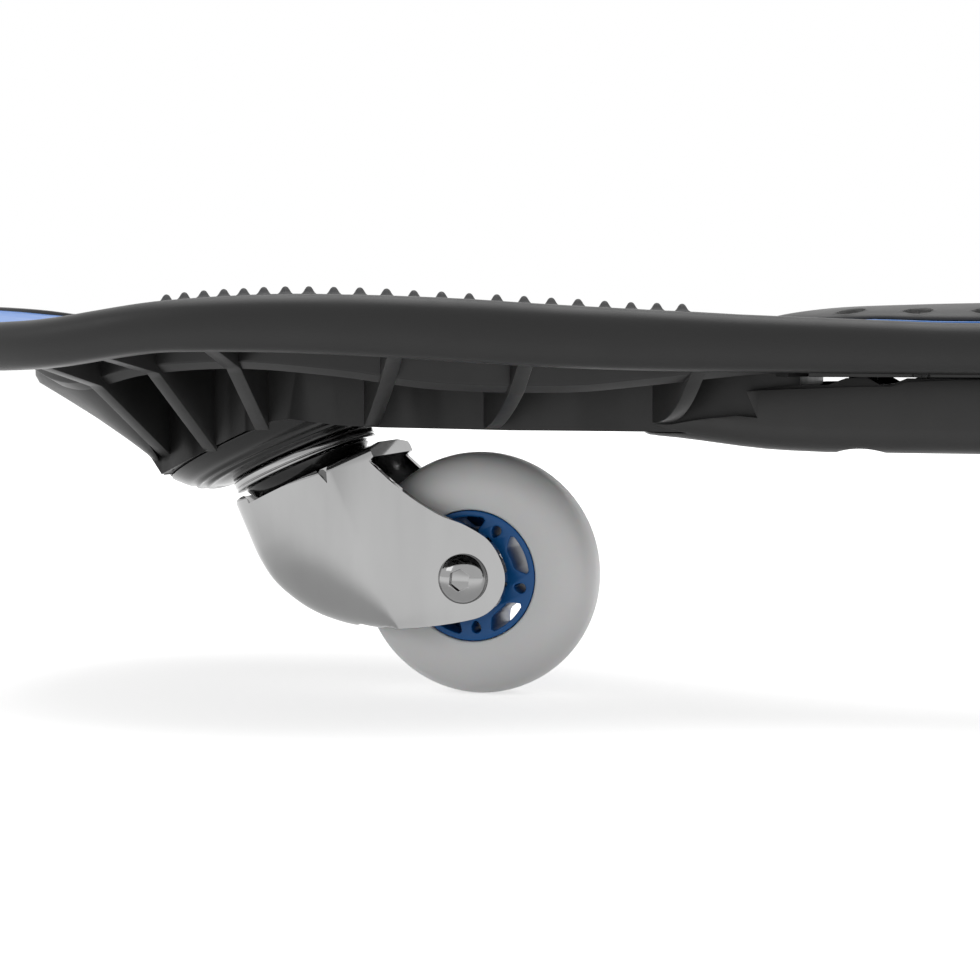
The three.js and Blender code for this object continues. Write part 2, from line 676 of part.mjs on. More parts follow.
// Boat-shaped cover under the neck, open at the top and at the middle of the board
function housing(sign, shape, clampX, grooveX, spineRoom) {
  const { width, bottom, stations } = shape;
  const last = stations[stations.length - 1];
  const rings = (shrink, places) =>
    places.map((d) => {
      const half = straight(width, d) - shrink;
      const low = straight(bottom, d) + shrink;
      const high = HOUSING_TOP + (shrink ? 6 : 0);
      const r = Math.min(HOUSING_CORNER, (high - low) * 0.8, half * 0.8);
      const s = r * 0.3;
      const rightSide = [[half, high], [half, low + r], [half - s, low + s], [half - r, low]];
      const leftSide = rightSide.map(([y, z]) => [-y, z]).reverse();
      return [...rightSide, ...leftSide].map(([y, z]) => at(sign * d, y, z));
    });
  const end = last - HOUSING_WALL;
  const inside = [HALF_GAP - 5, ...stations.slice(1).filter((d) => d < end), end];
  const outer = loft(rings(0, stations));
  const inner = loft(rings(HOUSING_WALL, inside));
  const above = (edge) => {
    const outline = [...edge, [220, 140], [-10, 140]];
    return sidePrism(outline.map(([d, z]) => [sign * d, z]), 60);
  };
  const middle = block(-HALF_LENGTH, HALF_LENGTH, -HOUSING_TONGUE_Y, HOUSING_TONGUE_Y, 0, 200);
  const step = cut(above(shape.step), middle);
  const screws = [BUSH_X, clampX].flatMap((d) => [
    shifted(rod(HOUSING_SCREW_RADIUS + 0.4, -1, 5, 12), sign * d, 0, HOUSING_BOTTOM),
    shifted(dish(), sign * d, 0, HOUSING_BOTTOM),
  ]);
  const across = new THREE.Matrix4().makeRotationX(Math.PI / 2);
  const round = moved(rod(GROOVE_RADIUS, -40, 40, 48), across);
  const groove = shifted(round, sign * grooveX, 0, HOUSING_BOTTOM + GROOVE_DEPTH - GROOVE_RADIUS);
  return cut(outer, inner, above(shape.edge), step, spineRoom, groove, ...screws);
}

// Value at x on straight lines between stations.
function straight(stations, x) {
  const i = Math.max(1, stations.findIndex(([s]) => s >= x));
  const [[x0, y0], [x1, y1]] = [stations[i - 1], stations[i]];
  return y0 + ((y1 - y0) * (x - x0)) / (x1 - x0);
}

// Shallow round dish in the housing under each screw head
function dish() {
  return turned([[0, -1], [7.3, -1], [7.3, 0], [5, 1.1], [3.9, 1.4], [3.9, 2], [0, 2]], 20);
}

function housingScrew() {
  const r = HOUSING_SCREW_RADIUS;
  const top = HOUSING_SCREW_TOP;
  return turned([[0, -0.9], [2.6, -0.6], [3.6, 0.4], [3.6, 1.7], [r, 1.7], [r, top], [0, top]], 12);
}

// Block round the torsion bar, between the housing's floor and the neck ribs
function barBlock(halfLength, top) {
  const low = HOUSING_BOTTOM + HOUSING_WALL + FIT;
  const shape = block(-halfLength, halfLength, -BLOCK_HALF_WIDTH, BLOCK_HALF_WIDTH, low, top);
  const boss = rod(CLAMP_BOSS_RADIUS, top - 1, BUSH_TOP, 16);
  const lengthwise = new THREE.Matrix4().makeRotationY(Math.PI / 2);
  const bore = shifted(moved(rod(BAR_RADIUS + FIT, -30, 30), lengthwise), 0, 0, BAR_Z);
  const screwTop = HOUSING_BOTTOM + HOUSING_SCREW_TOP + FIT;
  const solidBlock = top < BUSH_TOP ? join(shape, boss) : shape;
  return cut(solidBlock, bore, rod(HOUSING_SCREW_RADIUS + FIT, HOUSING_BOTTOM, screwTop, 12));
}

// Horizontal sections of the fork: a half oval in front and two flat legs behind it
function forkRings(levels, shrink, rear) {
  return levels.map(([z, nose, half]) => {
    const depth = FORK_FLAT_X - nose - shrink;
    const lipSlope = z < FORK_TOP - LIP_HEIGHT ? 0 : LIP_SLOPE;
    const arc = steps(-Math.PI / 2, Math.PI / 2, 10).map((a) => {
      const back = depth * Math.cos(a);
      return at(FORK_FLAT_X - back, (half - shrink) * Math.sin(a), z + lipSlope * back);
    });
    return [at(rear, shrink - half, z), ...arc, at(rear, half - shrink, z)];
  });
}

function fork() {
  const profile = [[-30, 0], [28.3, 0], [28.3, -9.8], ...LEG_OUTLINE, [-30, -61.5]];
  const outer = loft(forkRings(FORK_LEVELS, 0, 60)).intersect(sidePrism(profile, 30));
  const ceiling = FORK_TOP - 3.5;
  const room = FORK_LEVELS.slice(1).map(([z, nose, half], i) => [i ? z : ceiling, nose, half]);
  const inner = loft(forkRings(room, SHEET, 75));
  const acrossAxle = (radius, halfLength, segments) => {
    const upright = rod(radius, -halfLength, halfLength, segments);
    const sideways = moved(upright, new THREE.Matrix4().makeRotationX(Math.PI / 2));
    return shifted(sideways, AXLE_X, 0, AXLE_Z);
  };
  const opening = block(-30, FORK_FLAT_X, -NOSE_CUT, NOSE_CUT, -80, NOSE_CUT_TOP);
  const axleHole = acrossAxle(AXLE_RADIUS + FIT, 30, 16);
  const raceRoom = rod(LIP_INNER_RADIUS, FORK_TOP, 5, 24);
  const kingpinHole = rod(KINGPIN_RADIUS + FIT, -20, 0);
  const notches = [-1, 1].map((side) => shifted(sidePrism(LEG_NOTCH, 4), 0, side * FORK_HALF_WIDTH, 0));
  return cut(outer, inner, opening, axleHole, raceRoom, kingpinHole, ...notches);
}

// Everything from the seat plate down, in the caster's own frame
function caster(end, kingpinX) {
  const group = new THREE.Group();
  group.applyMatrix4(casterPlace(kingpinX));
  const bore = KINGPIN_RADIUS + FIT;
  const screws = seatScrewPlaces();
  const sink = [[0, -1], [4.4, -1], [4.4, 0.2], [2.7, 2.4], [2.7, 8], [0, 8]];
  const plateHoles = screws.map(([x, y]) => shifted(turned(sink, 8), x, y, SEAT_PLATE_BOTTOM));
  const seatTop = SEAT_BOTTOM - FIT;
  const seatDisc = turned([
    [bore, SEAT_PLATE_BOTTOM], [34.6, SEAT_PLATE_BOTTOM], [37.2, 6.7], [SEAT_RADIUS - FIT, 10.6],
    [SEAT_RADIUS - FIT, seatTop], [bore, seatTop],
  ], 32);
  add(group, `${end}_seat_plate`, cut(seatDisc, ...plateHoles), "black_plastic");
  screws.forEach(([x, y], i) => {
    const shape = turned([[0, 0.2], [3.9, 0.2], [2.2, 2.2], [2.2, 16], [0, 16]], 8);
    add(group, `${end}_seat_screw_${i + 1}`, shape, "steel").position.set(x, y, SEAT_PLATE_BOTTOM);
  });
  const underSeat = SEAT_PLATE_BOTTOM - FIT;
  const upper = [[bore, 2], [27.6, 2], [33.8, underSeat], [bore, underSeat]];
  add(group, `${end}_upper_race`, turned(upper, 28), "steel");
  const ring = tube(bore, RING_RADIUS, -RING_HALF_HEIGHT, RING_HALF_HEIGHT, 32);
  add(group, `${end}_race_cover`, ring, "chrome");
  const lower = [[bore, FORK_TOP + FIT], [19, FORK_TOP + FIT], [21.8, -2], [bore, -2]];
  add(group, `${end}_lower_race`, turned(lower, 22), "steel");
  const head = rod(9, SEAT_BOTTOM + 5.8, SEAT_BOTTOM + 11, 6);
  const shank = rod(KINGPIN_RADIUS, -19, SEAT_BOTTOM + 6);
  add(group, `${end}_kingpin`, join(shank, head), "steel");
  const kingpinNut = cut(rod(9, -17.5, FORK_TOP - 3.8, 6), rod(bore, -30, 0));
  add(group, `${end}_kingpin_nut`, kingpinNut, "steel");
  add(group, `${end}_fork`, fork(), "chrome");

  const axle = new THREE.Group();
  axle.position.set(AXLE_X, 0, AXLE_Z);
  axle.rotation.x = Math.PI / 2;
  group.add(axle);
  const face = FORK_HALF_WIDTH + FIT;
  const boltProfile = [
    [0, face + 4.6], [3.4, face + 4.2], [6.2, face + 2.6], [7.7, face], [AXLE_RADIUS, face],
    [AXLE_RADIUS, -face - 5], [0, -face - 5],
  ];
  const socket = rod(3.4, face + 1.8, face + 9, 6);
  add(axle, `${end}_axle_bolt`, cut(turned(boltProfile, 20), socket), "chrome");
  const nut = cut(rod(7.6, -face - 6, -face, 6), rod(AXLE_RADIUS + FIT, -face - 9, 0));
  add(axle, `${end}_axle_nut`, nut, "steel");
  [-1, 1].forEach((side) => {
    const hand = side < 0 ? "right" : "left";
    const near = side * (WHEEL_HALF_WIDTH + FIT);
    const far = side * (FORK_HALF_WIDTH - SHEET - FIT);
    const spacer = tube(AXLE_RADIUS + FIT, 6.6, Math.min(near, far), Math.max(near, far), 14);
    add(axle, `${end}_axle_spacer_${hand}`, spacer, "steel");
    const inside = side * (WHEEL_HALF_WIDTH - BEARING_WIDTH);
    const outside = side * WHEEL_HALF_WIDTH;
    const bearing = tube(
      AXLE_RADIUS + FIT, BEARING_RADIUS, Math.min(inside, outside), Math.max(inside, outside), 20,
    );
    add(axle, `${end}_bearing_${hand}`, bearing, "steel");
  });
  const between = WHEEL_HALF_WIDTH - BEARING_WIDTH - FIT;
  const bearingSpacer = tube(AXLE_RADIUS + FIT, 6.2, -between, between, 14);
  add(axle, `${end}_bearing_spacer`, bearingSpacer, "steel");
  add(axle, `${end}_hub`, hub(), "hub_plastic");
  add(axle, `${end}_tyre`, tyre(), "urethane");
  return group;
}

function hub() {
  const seat = WHEEL_HALF_WIDTH - BEARING_WIDTH - FIT;
  const bore = BEARING_RADIUS + FIT;
  const r = HUB_RADIUS - FIT;
  const w = WHEEL_HALF_WIDTH;
  const body = turned(
    [[bore, -w], [r, -w], [r, w], [bore, w], [bore, seat], [8, seat], [8, -seat], [bore, -seat]], 30,
  );
  const windows = steps(0, WINDOWS - 1, WINDOWS - 1).flatMap((i) => {
    const middle = (360 / WINDOWS) * i;
    const fan = [[14, -13], [13.8, 0], [14, 13], [18.4, 21], [18.8, 0], [18.4, -21]];
    const oval = [[14.2, 0], [16, 5.5], [17.8, 0], [16, -5.5]];
    return [[fan, middle], [oval, middle + 180 / WINDOWS]].map(([points, turn]) => {
      const outline = points.map(([radius, angle]) => {
        const a = THREE.MathUtils.degToRad(angle + turn);
        return [radius * Math.cos(a), radius * Math.sin(a)];
      });
      return prism(outline, -20, 20);
    });
  });
  return cut(body, ...windows);
}

function tyre() {
  const r = HUB_RADIUS;
  return turned([
    [r, -12], [27, -12], [32.6, -9.9], [36.4, -5.8], [WHEEL_RADIUS, 0], [36.4, 5.8], [32.6, 9.9],
    [27, 12], [r, 12],
  ], 36);
}

// Room that the spine takes out of the housing
function spineRoom(sign) {
  const start = SPINE_END - 2;
  const low = SPINE_BOTTOM - FIT;
  const half = SPINE_END_HALF_WIDTH + FIT;
  const ends = [sign * start, sign * HALF_LENGTH].sort((a, b) => a - b);
  return block(...ends, -half, half, low, 200);
}

// One half of the board with its caster
function half(end, sign, plan) {
  const group = new THREE.Group();
  const margin = RIM_WIDTH + FIT;
  const panelBottom = (d) => panelTop(d) - PANEL_THICKNESS;
  const panel = plate(sign, panelBottom, panelTop, insetStations(margin));
  const room = spineRoom(sign);
  const housingBody = housing(sign, plan.housing, plan.clampX, GROOVE_X[end], room);
  add(group, `${end}_frame`, frame(sign, plan), "black_plastic");
  add(group, `${end}_top_panel`, panel, "blue_plastic");
  add(group, `${end}_grip_pad`, gripPad(sign), "grip_rubber");
  add(group, `${end}_neck_cover`, neckCover(sign), "grey_plastic");
  add(group, `${end}_torsion_housing`, housingBody, "grey_plastic");
  [BUSH_X, plan.clampX].forEach((d, i) => {
    const screw = add(group, `${end}_housing_screw_${i + 1}`, housingScrew(), "steel");
    screw.position.set(sign * d, 0, HOUSING_BOTTOM);
  });
  const clamp = add(group, `${end}_bar_clamp`, barBlock(CLAMP_HALF_LENGTH, CLAMP_TOP), "steel");
  clamp.position.x = sign * plan.clampX;
  const bush = add(group, `${end}_bar_bush`, barBlock(BUSH_HALF_LENGTH, BUSH_TOP), "black_plastic");
  bush.position.x = sign * BUSH_X;
  group.add(caster(end, plan.kingpinX));
  return group;
}

const board = new THREE.Group();
board.add(
  half("front", -1, {
    kingpinX: FRONT_KINGPIN_X,
    housing: FRONT_HOUSING,
    clampX: FRONT_CLAMP_X,
    spine: FRONT_SPINE,
    spineWidth: FRONT_SPINE_WIDTH,
    hollow: FRONT_HOLLOW,
    ribs: FRONT_CROSS_RIBS,
  }),
);
board.add(
  half("rear", 1, {
    kingpinX: REAR_KINGPIN_X,
    housing: REAR_HOUSING,
    clampX: REAR_CLAMP_X,
    spine: REAR_SPINE,
    spineWidth: REAR_SPINE_WIDTH,
    hollow: REAR_HOLLOW,
    ribs: REAR_CROSS_RIBS,
  }),
);
const bar = rod(BAR_RADIUS, -FRONT_CLAMP_X - BAR_END_MARGIN, REAR_CLAMP_X + BAR_END_MARGIN, 20);
const barAlongX = moved(bar, new THREE.Matrix4().makeRotationY(Math.PI / 2));
add(board, "torsion_bar", barAlongX, "steel").position.z = BAR_Z;

export default board;
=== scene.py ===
import json
import math

import bmesh
import bpy
import numpy as np
from mathutils import Matrix, Vector


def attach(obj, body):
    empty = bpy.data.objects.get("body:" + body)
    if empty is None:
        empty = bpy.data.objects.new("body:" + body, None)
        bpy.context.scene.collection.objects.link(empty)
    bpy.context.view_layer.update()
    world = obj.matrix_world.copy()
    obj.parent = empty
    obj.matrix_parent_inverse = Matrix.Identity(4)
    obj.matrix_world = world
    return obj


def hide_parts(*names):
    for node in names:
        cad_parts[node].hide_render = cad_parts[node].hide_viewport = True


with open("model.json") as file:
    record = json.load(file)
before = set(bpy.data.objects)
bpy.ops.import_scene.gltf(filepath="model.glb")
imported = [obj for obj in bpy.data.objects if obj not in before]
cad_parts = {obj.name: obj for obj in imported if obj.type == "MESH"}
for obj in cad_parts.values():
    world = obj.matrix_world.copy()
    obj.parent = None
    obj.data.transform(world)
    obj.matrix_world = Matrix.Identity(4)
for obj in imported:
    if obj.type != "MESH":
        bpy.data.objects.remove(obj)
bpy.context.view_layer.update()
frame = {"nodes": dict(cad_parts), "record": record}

MM = 0.001
QUARTER = math.pi / 2

# Outline of one half, by distance d from the middle of the board
HALF_LENGTH = 432
PLATFORM_HALF_WIDTH = 114.5
PLATFORM_X = 305
NECK_HALF_WIDTH = 46
NECK_BLEND = 200
NOSE_ROUNDNESS = 2.15
HALF_GAP = 1.5
GAP = 0.3
# Half width and height that clear the whole board, for tools that cut right through
CLEAR_Y = 60
CLEAR_Z = 200

RIM_WIDTH = 13
RIM_LEVEL = [
    (0, 108), (100, 108.6), (124, 109.2), (160, 110.2), (184, 111.1), (208, 112.3), (232, 113.9),
    (256, 115.1), (280, 115.5), (304, 114.9), (315, 114), (340, 110.6), (352, 109.6), (370, 109.2),
    (390, 110.2), (412, 112.8), (420, 114.4), (432, 116),
]
RIM_THICKNESS = [
    (0, 14.3), (100, 14.5), (124, 15.3), (160, 16.3), (184, 17.1), (220, 17.5), (244, 17), (268, 16.1),
    (292, 15), (315, 13.9), (352, 13.8), (432, 14.3),
]
PANEL_THICKNESS = 2.2
# How far the panel lies below the rim's top
PANEL_SINK = [
    (0, -0.3), (118, -0.3), (150, 1.6), (250, 1.6), (300, 1.1), (360, 0.9), (400, 0.3), (432, 0.3),
]
SKIN_THICKNESS = 3

# Half width of the pad by distance from the middle
PAD_EDGE = [
    (161, 0.5), (162.5, 26), (166, 39), (175, 47.5), (195, 59.5), (216, 70), (237, 78.5), (260, 81.5),
    (282, 79.5), (305, 71.5), (326, 63.5), (341, 54), (351, 43), (357, 27), (359, 0.5),
]
# Top of the pad over the rim's top
PAD_LEVEL = [
    (161, 0.1), (175, 0.1), (190, -0.2), (208, -0.2), (237, -0.4), (260, 0.2), (282, 0.9), (305, 1.7),
    (320, 2.7), (333, 3.4), (359, 3.6),
]
STUD_PITCH = 7.69
STUD_INSET = 3
FIRST_STUD_X = 175
LAST_STUD_X = 327

COVER_WIDTH = [(1.5, 28), (95, 27), (125, 22.5), (145, 14), (157, 1)]
COVER_TOP = [
    (0, 122.5), (54, 122.4), (101.7, 121.8), (115, 121.5), (129, 121.1), (136, 120.7), (143.2, 120),
    (150.4, 119), (157, 117.7),
]
TEARDROP_FIRST = 130.4
TEARDROP_PITCH = 19.6
TEARDROP_COUNT = 7
TEARDROP_INSET = 3.6
TEARDROP_HALF = 2.3
TEARDROP_REACH = 4.2
TEARDROP_DEPTH = 1.3
TEARDROP_LIP = 0.22

RIB_THICKNESS = 4.5
LONG_RIB_NOSE = 395
LONG_RIB_INSET = [(140, 9), (165, 13), (200, 23), (255, 31), (305, 40)]
LONG_RIB_LEVEL = [
    (130, 103.3), (160, 100.7), (185, 97.9), (205, 96.1), (240, 96.9), (270, 100.8), (300, 102.8),
    (330, 100.8), (352, 96.2), (362, 96.9), (370, 99.3), (380, 102), (395, 103),
]
# Each cross rib: where it meets the rim and the spine, its height at the spine, and its curve
FRONT_RIBS = [
    (350, 339.5, 74.7, 1), (329, 321.8, 77, 1), (296, 304.2, 83.8, 1), (246, 271, 85, 1.1),
    (213, 236, 84.4, 1.45), (168, 185, 86.7, 2.3),
]
REAR_RIBS = [
    (198, 207.5, 74.7, 1), (220, 225.2, 77, 1), (250, 242.8, 83.8, 1), (284, 270, 88, 1.1),
    (318, 302, 91.5, 1.4), (352, 338, 95.5, 1.6),
]
NECK_RIB_BOTTOM = 100.5
NECK_SILL_Y = 33
NECK_SILL_END = 140
NECK_CROSSINGS = [128, 88.8, 49.6]
NECK_CROSSING_REACH = 19.6

# Half width of the spine by distance from the middle: it swells round the kingpin
SPINE_WIDTH = {
    "front": [(135, 28), (225, 28), (290, 41.5), (318, 41.5), (341, 33), (350, 29)],
    "rear": [(195, 29), (206, 33), (229, 41.5), (257, 41.5), (322, 28), (392, 28)],
}
SPINE_END_HALF_WIDTH = 28
SPINE_BOTTOM = 84
SPINE_END = 143.4
SPINES = {
    "front": [
        (-346, 109), (-346, 75), (-341, 69.2), (-301, 86.5), (-295, 87.3), (-280, 85.4), (-268, 84.8),
        (-230, SPINE_BOTTOM), (-SPINE_END, SPINE_BOTTOM), (-SPINE_END, 109),
    ],
    "rear": [
        (201, 109), (201, 75), (206, 69.2), (246, 86.5), (252, 87.7), (267, 86.2), (300, 89),
        (390, 99.5), (390, 109),
    ],
}
WEDGE_BOW = [(68.5, 37.5, 29), (74.4, 45.5, 33), (87, 65, 48), (98.5, 85, 61), (110, 85, 61)]
WEDGE_BACK = 36
WEDGE_SWEEP = 0.12

CASTER_TILT = 24
RING_CENTRE_Z = 72.5
KINGPIN_X = {"front": -305.7, "rear": 241.3}
SEAT_RADIUS = 41.5
SEAT_FLANGE = 4
SEAT_BOTTOM = 11.5
RACE_BORE = 5.3

FORK_TOP = -6.3
FORK_HALF_WIDTH = 20.5
FORK_FLAT_X = 14
FORK_BEND = 2
LIP_SLOPE = 0.095
LIP_INNER_RADIUS = 22.5
# Height and reach of the fork's round front
FORK_NOSE = [
    (-8.3, -27), (-16, -27), (-23, -26.8), (-32, -24.9), (-41, -20), (-47, -15.1), (-52, -9.3),
    (-55.5, -4), (-59, 3.3), (-62, 11.5), (-70, 12),
]
# Side view of a leg from its top at the back, round the axle and forward along its lower edge
LEG_OUTLINE = [
    (26.4, -10.5), (29.5, -17.3), (32.7, -23.3), (36.5, -29.3), (41.2, -35.3), (46.1, -39.8),
    (50.2, -44.9), (52.1, -48.6), (52.9, -53.4), (52.5, -58.7), (50.4, -63), (46.2, -66.6),
    (41, -68.2), (34.5, -67.5), (23.8, -64.9), (13.7, -61.6),
]
LEG_NOTCH = [(8.2, -4), (13.8, -4), (11, -11.4)]
NOSE_CUT = 13.7
NOSE_CUT_TOP = -55.5
AXLE = (39.6, -55.4)
AXLE_HOLE = 4.2
SHEET = 3

WHEEL_RADIUS = 38
WHEEL_HALF_WIDTH = 12
HUB_RADIUS = 20.6
BEARING_RADIUS = 11

HOUSING_BOTTOM = 78.6
HOUSING_TOP = 100.2
HOUSING_WALL = 3
HOUSING_CORNER = 7.5
HOUSING_TONGUE_Y = 31.5
GROOVE_RADIUS = 21
GROOVE_DEPTH = 1.3
GROOVE_X = {"front": 125.8, "rear": 84}
# Plan, underside and wall top of each housing, by distance from the middle
HOUSINGS = {
    "front": {
        "width": [
            (HALF_GAP, 33), (150, 33), (166, 32), (180, 30.4), (186, 29.6), (189, 27), (191.5, 20),
            (193, 11),
        ],
        "bottom": [
            (0, HOUSING_BOTTOM), (136, HOUSING_BOTTOM), (146, 78.9), (153.4, 79.3), (160.7, 80),
            (172.5, 81.4), (180, 82.2), (188, 82.8), (193, 82.9),
        ],
        "edge": [
            (-10, HOUSING_TOP), (112.6, HOUSING_TOP), (117.5, 98.2), (119.9, 98.2),
            (123.5, HOUSING_TOP), (129.8, HOUSING_TOP), (135, 98.2), (143, 98.1), (150, 97.5),
            (158.3, 96.4), (155, 88.6), (161, 89.2), (172, 88), (181, 86.3), (220, 86.1),
        ],
        "step": [
            (-10, 100), (98.5, 99.8), (112.2, 99.2), (117, 97.9), (125.7, 97.8), (142, 97.1),
            (158.3, 96.4), (220, 96.3),
        ],
    },
    "rear": {
        "width": [(HALF_GAP, 33), (105, 33), (122, 31), (136, 25.5), (145, 17), (150, 8)],
        "bottom": [
            (0, HOUSING_BOTTOM), (96, HOUSING_BOTTOM), (110, 79.8), (125, 83.2), (137, 88.2),
            (145, 93.1), (150, 97.1),
        ],
        "edge": [(-10, HOUSING_TOP), (220, HOUSING_TOP)],
        "step": [(-10, 100), (220, 99.8)],
    },
}
BUSH_X = 40
CLAMP_X = {"front": 128, "rear": 84}


# Numbers

def along(stations, x):
    """Smooth value at x through a short list of stations."""
    last = len(stations) - 1
    x = min(max(x, stations[0][0]), stations[last][0])
    i = 0
    while i < last - 1 and x > stations[i + 1][0]:
        i += 1

    def slope(k):
        a = stations[max(k - 1, 0)]
        b = stations[min(k + 1, last)]
        return (b[1] - a[1]) / (b[0] - a[0])

    (x0, y0), (x1, y1) = stations[i][:2], stations[i + 1][:2]
    span = x1 - x0
    t = (x - x0) / span
    near = y0 + (y1 - y0) * t * t * (3 - 2 * t)
    return near + span * t * (1 - t) * ((1 - t) * slope(i) - t * slope(i + 1))


def straight(stations, x):
    return float(np.interp(x, [s[0] for s in stations], [s[1] for s in stations]))


def steps(a, b, count):
    return [a + (b - a) * i / count for i in range(count + 1)]


def half_width(d):
    if d > PLATFORM_X:
        u = min((d - PLATFORM_X) / (HALF_LENGTH - PLATFORM_X), 1)
        return PLATFORM_HALF_WIDTH * (1 - u**NOSE_ROUNDNESS) ** (1 / NOSE_ROUNDNESS)
    u = min(max((d - PLATFORM_X + NECK_BLEND) / NECK_BLEND, 0), 1)
    return NECK_HALF_WIDTH + (PLATFORM_HALF_WIDTH - NECK_HALF_WIDTH) * u * u * (3 - 2 * u)


def rim_top(d):
    return along(RIM_LEVEL, d) + along(RIM_THICKNESS, d) / 2


def rim_bottom(d):
    return along(RIM_LEVEL, d) - along(RIM_THICKNESS, d) / 2


def panel_top(d):
    return rim_top(d) - along(PANEL_SINK, d)


def pad_top(d):
    return rim_top(d) + along(PAD_LEVEL, d)


def skin_bottom(d):
    return panel_top(d) - PANEL_THICKNESS - GAP - SKIN_THICKNESS


def side_outline(reach, width, start=HALF_GAP, pitch=5, nose=44):
    """Points (d, y) along one side, from the start to the tip of the nose."""
    count = max(2, round((PLATFORM_X - start) / pitch))
    points = [(d, width(d)) for d in steps(start, PLATFORM_X, count)]
    power = 2 / NOSE_ROUNDNESS
    for angle in steps(0, QUARTER, nose)[1:-1]:
        d = PLATFORM_X + (reach - PLATFORM_X) * math.sin(angle) ** power
        points.append((d, width(PLATFORM_X) * math.cos(angle) ** power))
    return points + [(reach, 0.0)]


# Meshes

def new_mesh(name, points, faces, smooth=True):
    mesh = bpy.data.meshes.new(name)
    mesh.from_pydata([Vector(p) * MM for p in points], [], faces)
    work = bmesh.new()
    work.from_mesh(mesh)
    bmesh.ops.remove_doubles(work, verts=work.verts, dist=1e-7)
    bmesh.ops.dissolve_degenerate(work, edges=work.edges, dist=1e-8)
    bmesh.ops.recalc_face_normals(work, faces=work.faces)
    work.to_mesh(mesh)
    work.free()
    mesh.polygons.foreach_set("use_smooth", [smooth] * len(mesh.polygons))
    return mesh


def new_object(name, mesh):
    obj = bpy.data.objects.new(name, mesh)
    bpy.context.scene.collection.objects.link(obj)
    return obj


def loft(rings, closed_ends=True):
    """Points and faces of a skin over closed rings with equal numbers of points."""
    count = len(rings[0])
    points = [p for ring in rings for p in ring]
    faces = []
    for r in range(len(rings) - 1):
        for i in range(count):
            j = (i + 1) % count
            a, b = r * count, (r + 1) * count
            faces.append((a + i, a + j, b + j, b + i))
    if closed_ends:
        for r in (0, len(rings) - 1):
            middle = np.mean([rings[r][i] for i in range(count)], axis=0)
            points.append(tuple(middle))
            centre = len(points) - 1
            faces += [(r * count + i, r * count + (i + 1) % count, centre) for i in range(count)]
    return points, faces


def lathe(profile, segments=64):
    """Rings about Z over (radius, z) points. A radius of zero closes the shape there."""
    rings = []
    for r, z in profile:
        turn = [4 * QUARTER * i / segments for i in range(segments)]
        rings.append([(max(r, 1e-4) * math.cos(a), max(r, 1e-4) * math.sin(a), z) for a in turn])
    closed = profile[0][0] < 1e-6
    if not closed:
        rings.append(rings[0])
    return loft(rings, closed_ends=closed)


def gather(*shapes):
    """One list of points and faces from several."""
    points, faces = [], []
    for more, polygons in shapes:
        base = len(points)
        points += list(more)
        faces += [tuple(base + i for i in f) for f in polygons]
    return points, faces


def turned(shape, matrix):
    return [tuple(matrix @ Vector(p)) for p in shape[0]], shape[1]


def solid(name, shape, place=Matrix(), smooth=True):
    """Object of points and faces in millimetres, put in its place."""
    return new_object(name, new_mesh(name, *turned(shape, place), smooth))


def in_metres(place):
    return Matrix.Diagonal((MM, MM, MM, 1)) @ place @ Matrix.Diagonal((1 / MM, 1 / MM, 1 / MM, 1))


def prism(low, high):
    """Solid between two outlines with equal numbers of points."""
    count = len(low)
    sides = [(i, (i + 1) % count, count + (i + 1) % count, count + i) for i in range(count)]
    return low + high, sides + [tuple(range(count)), tuple(range(2 * count - 1, count - 1, -1))]


def side_prism(outline, half):
    return prism(*([(x, y, z) for x, z in outline] for y in (-half, half)))


def evaluated_mesh(obj):
    graph = bpy.context.evaluated_depsgraph_get()
    graph.update()
    return bpy.data.meshes.new_from_object(obj.evaluated_get(graph))


def evaluated(obj):
    """Swaps an object's mesh for what its modifiers make of it."""
    mesh = evaluated_mesh(obj)
    mesh.name = obj.name
    obj.modifiers.clear()
    obj.data = mesh
    return obj


def with_edges(obj, width, segments=2, angle=35):
    bevel = obj.modifiers.new("edges", "BEVEL")
    bevel.width = width * MM
    bevel.segments = segments
    bevel.limit_method = "ANGLE"
    bevel.angle_limit = math.radians(angle)
    return evaluated(obj)


def cut_away(obj, *tools, operation="DIFFERENCE"):
    for tool in tools:
        boolean = obj.modifiers.new("cut", "BOOLEAN")
        boolean.operation = operation
        boolean.solver = "EXACT"
        boolean.object = tool
    evaluated(obj)
    for tool in tools:
        bpy.data.objects.remove(tool)
    return obj


def kept_inside(obj, tool):
    return cut_away(obj, tool, operation="INTERSECT")


def weld(mesh, flat=None):
    """Joins points that meet, and neighbouring faces that bend less than the flat angle."""
    work = bmesh.new()
    work.from_mesh(mesh)
    bmesh.ops.remove_doubles(work, verts=work.verts, dist=1e-6)
    if flat:
        bmesh.ops.dissolve_limit(
            work, angle_limit=math.radians(flat), verts=work.verts, edges=work.edges,
            use_dissolve_boundaries=False,
        )
    bmesh.ops.recalc_face_normals(work, faces=work.faces)
    work.to_mesh(mesh)
    work.free()


def smooth_by_angle(obj, angle=35):
    mesh = obj.data
    mesh.polygons.foreach_set("use_smooth", [True] * len(mesh.polygons))
    work = bmesh.new()
    work.from_mesh(mesh)
    for edge in work.edges:
        flat = len(edge.link_faces) == 2 and edge.calc_face_angle(0) > math.radians(angle)
        edge.smooth = not flat
    work.to_mesh(mesh)
    work.free()
    return obj


def joined(name, objects):
    work = bmesh.new()
    for obj in objects:
        work.from_mesh(obj.data)
    mesh = bpy.data.meshes.new(name)
    work.to_mesh(mesh)
    work.free()
    for obj in objects:
        bpy.data.objects.remove(obj)
    return new_object(name, mesh)


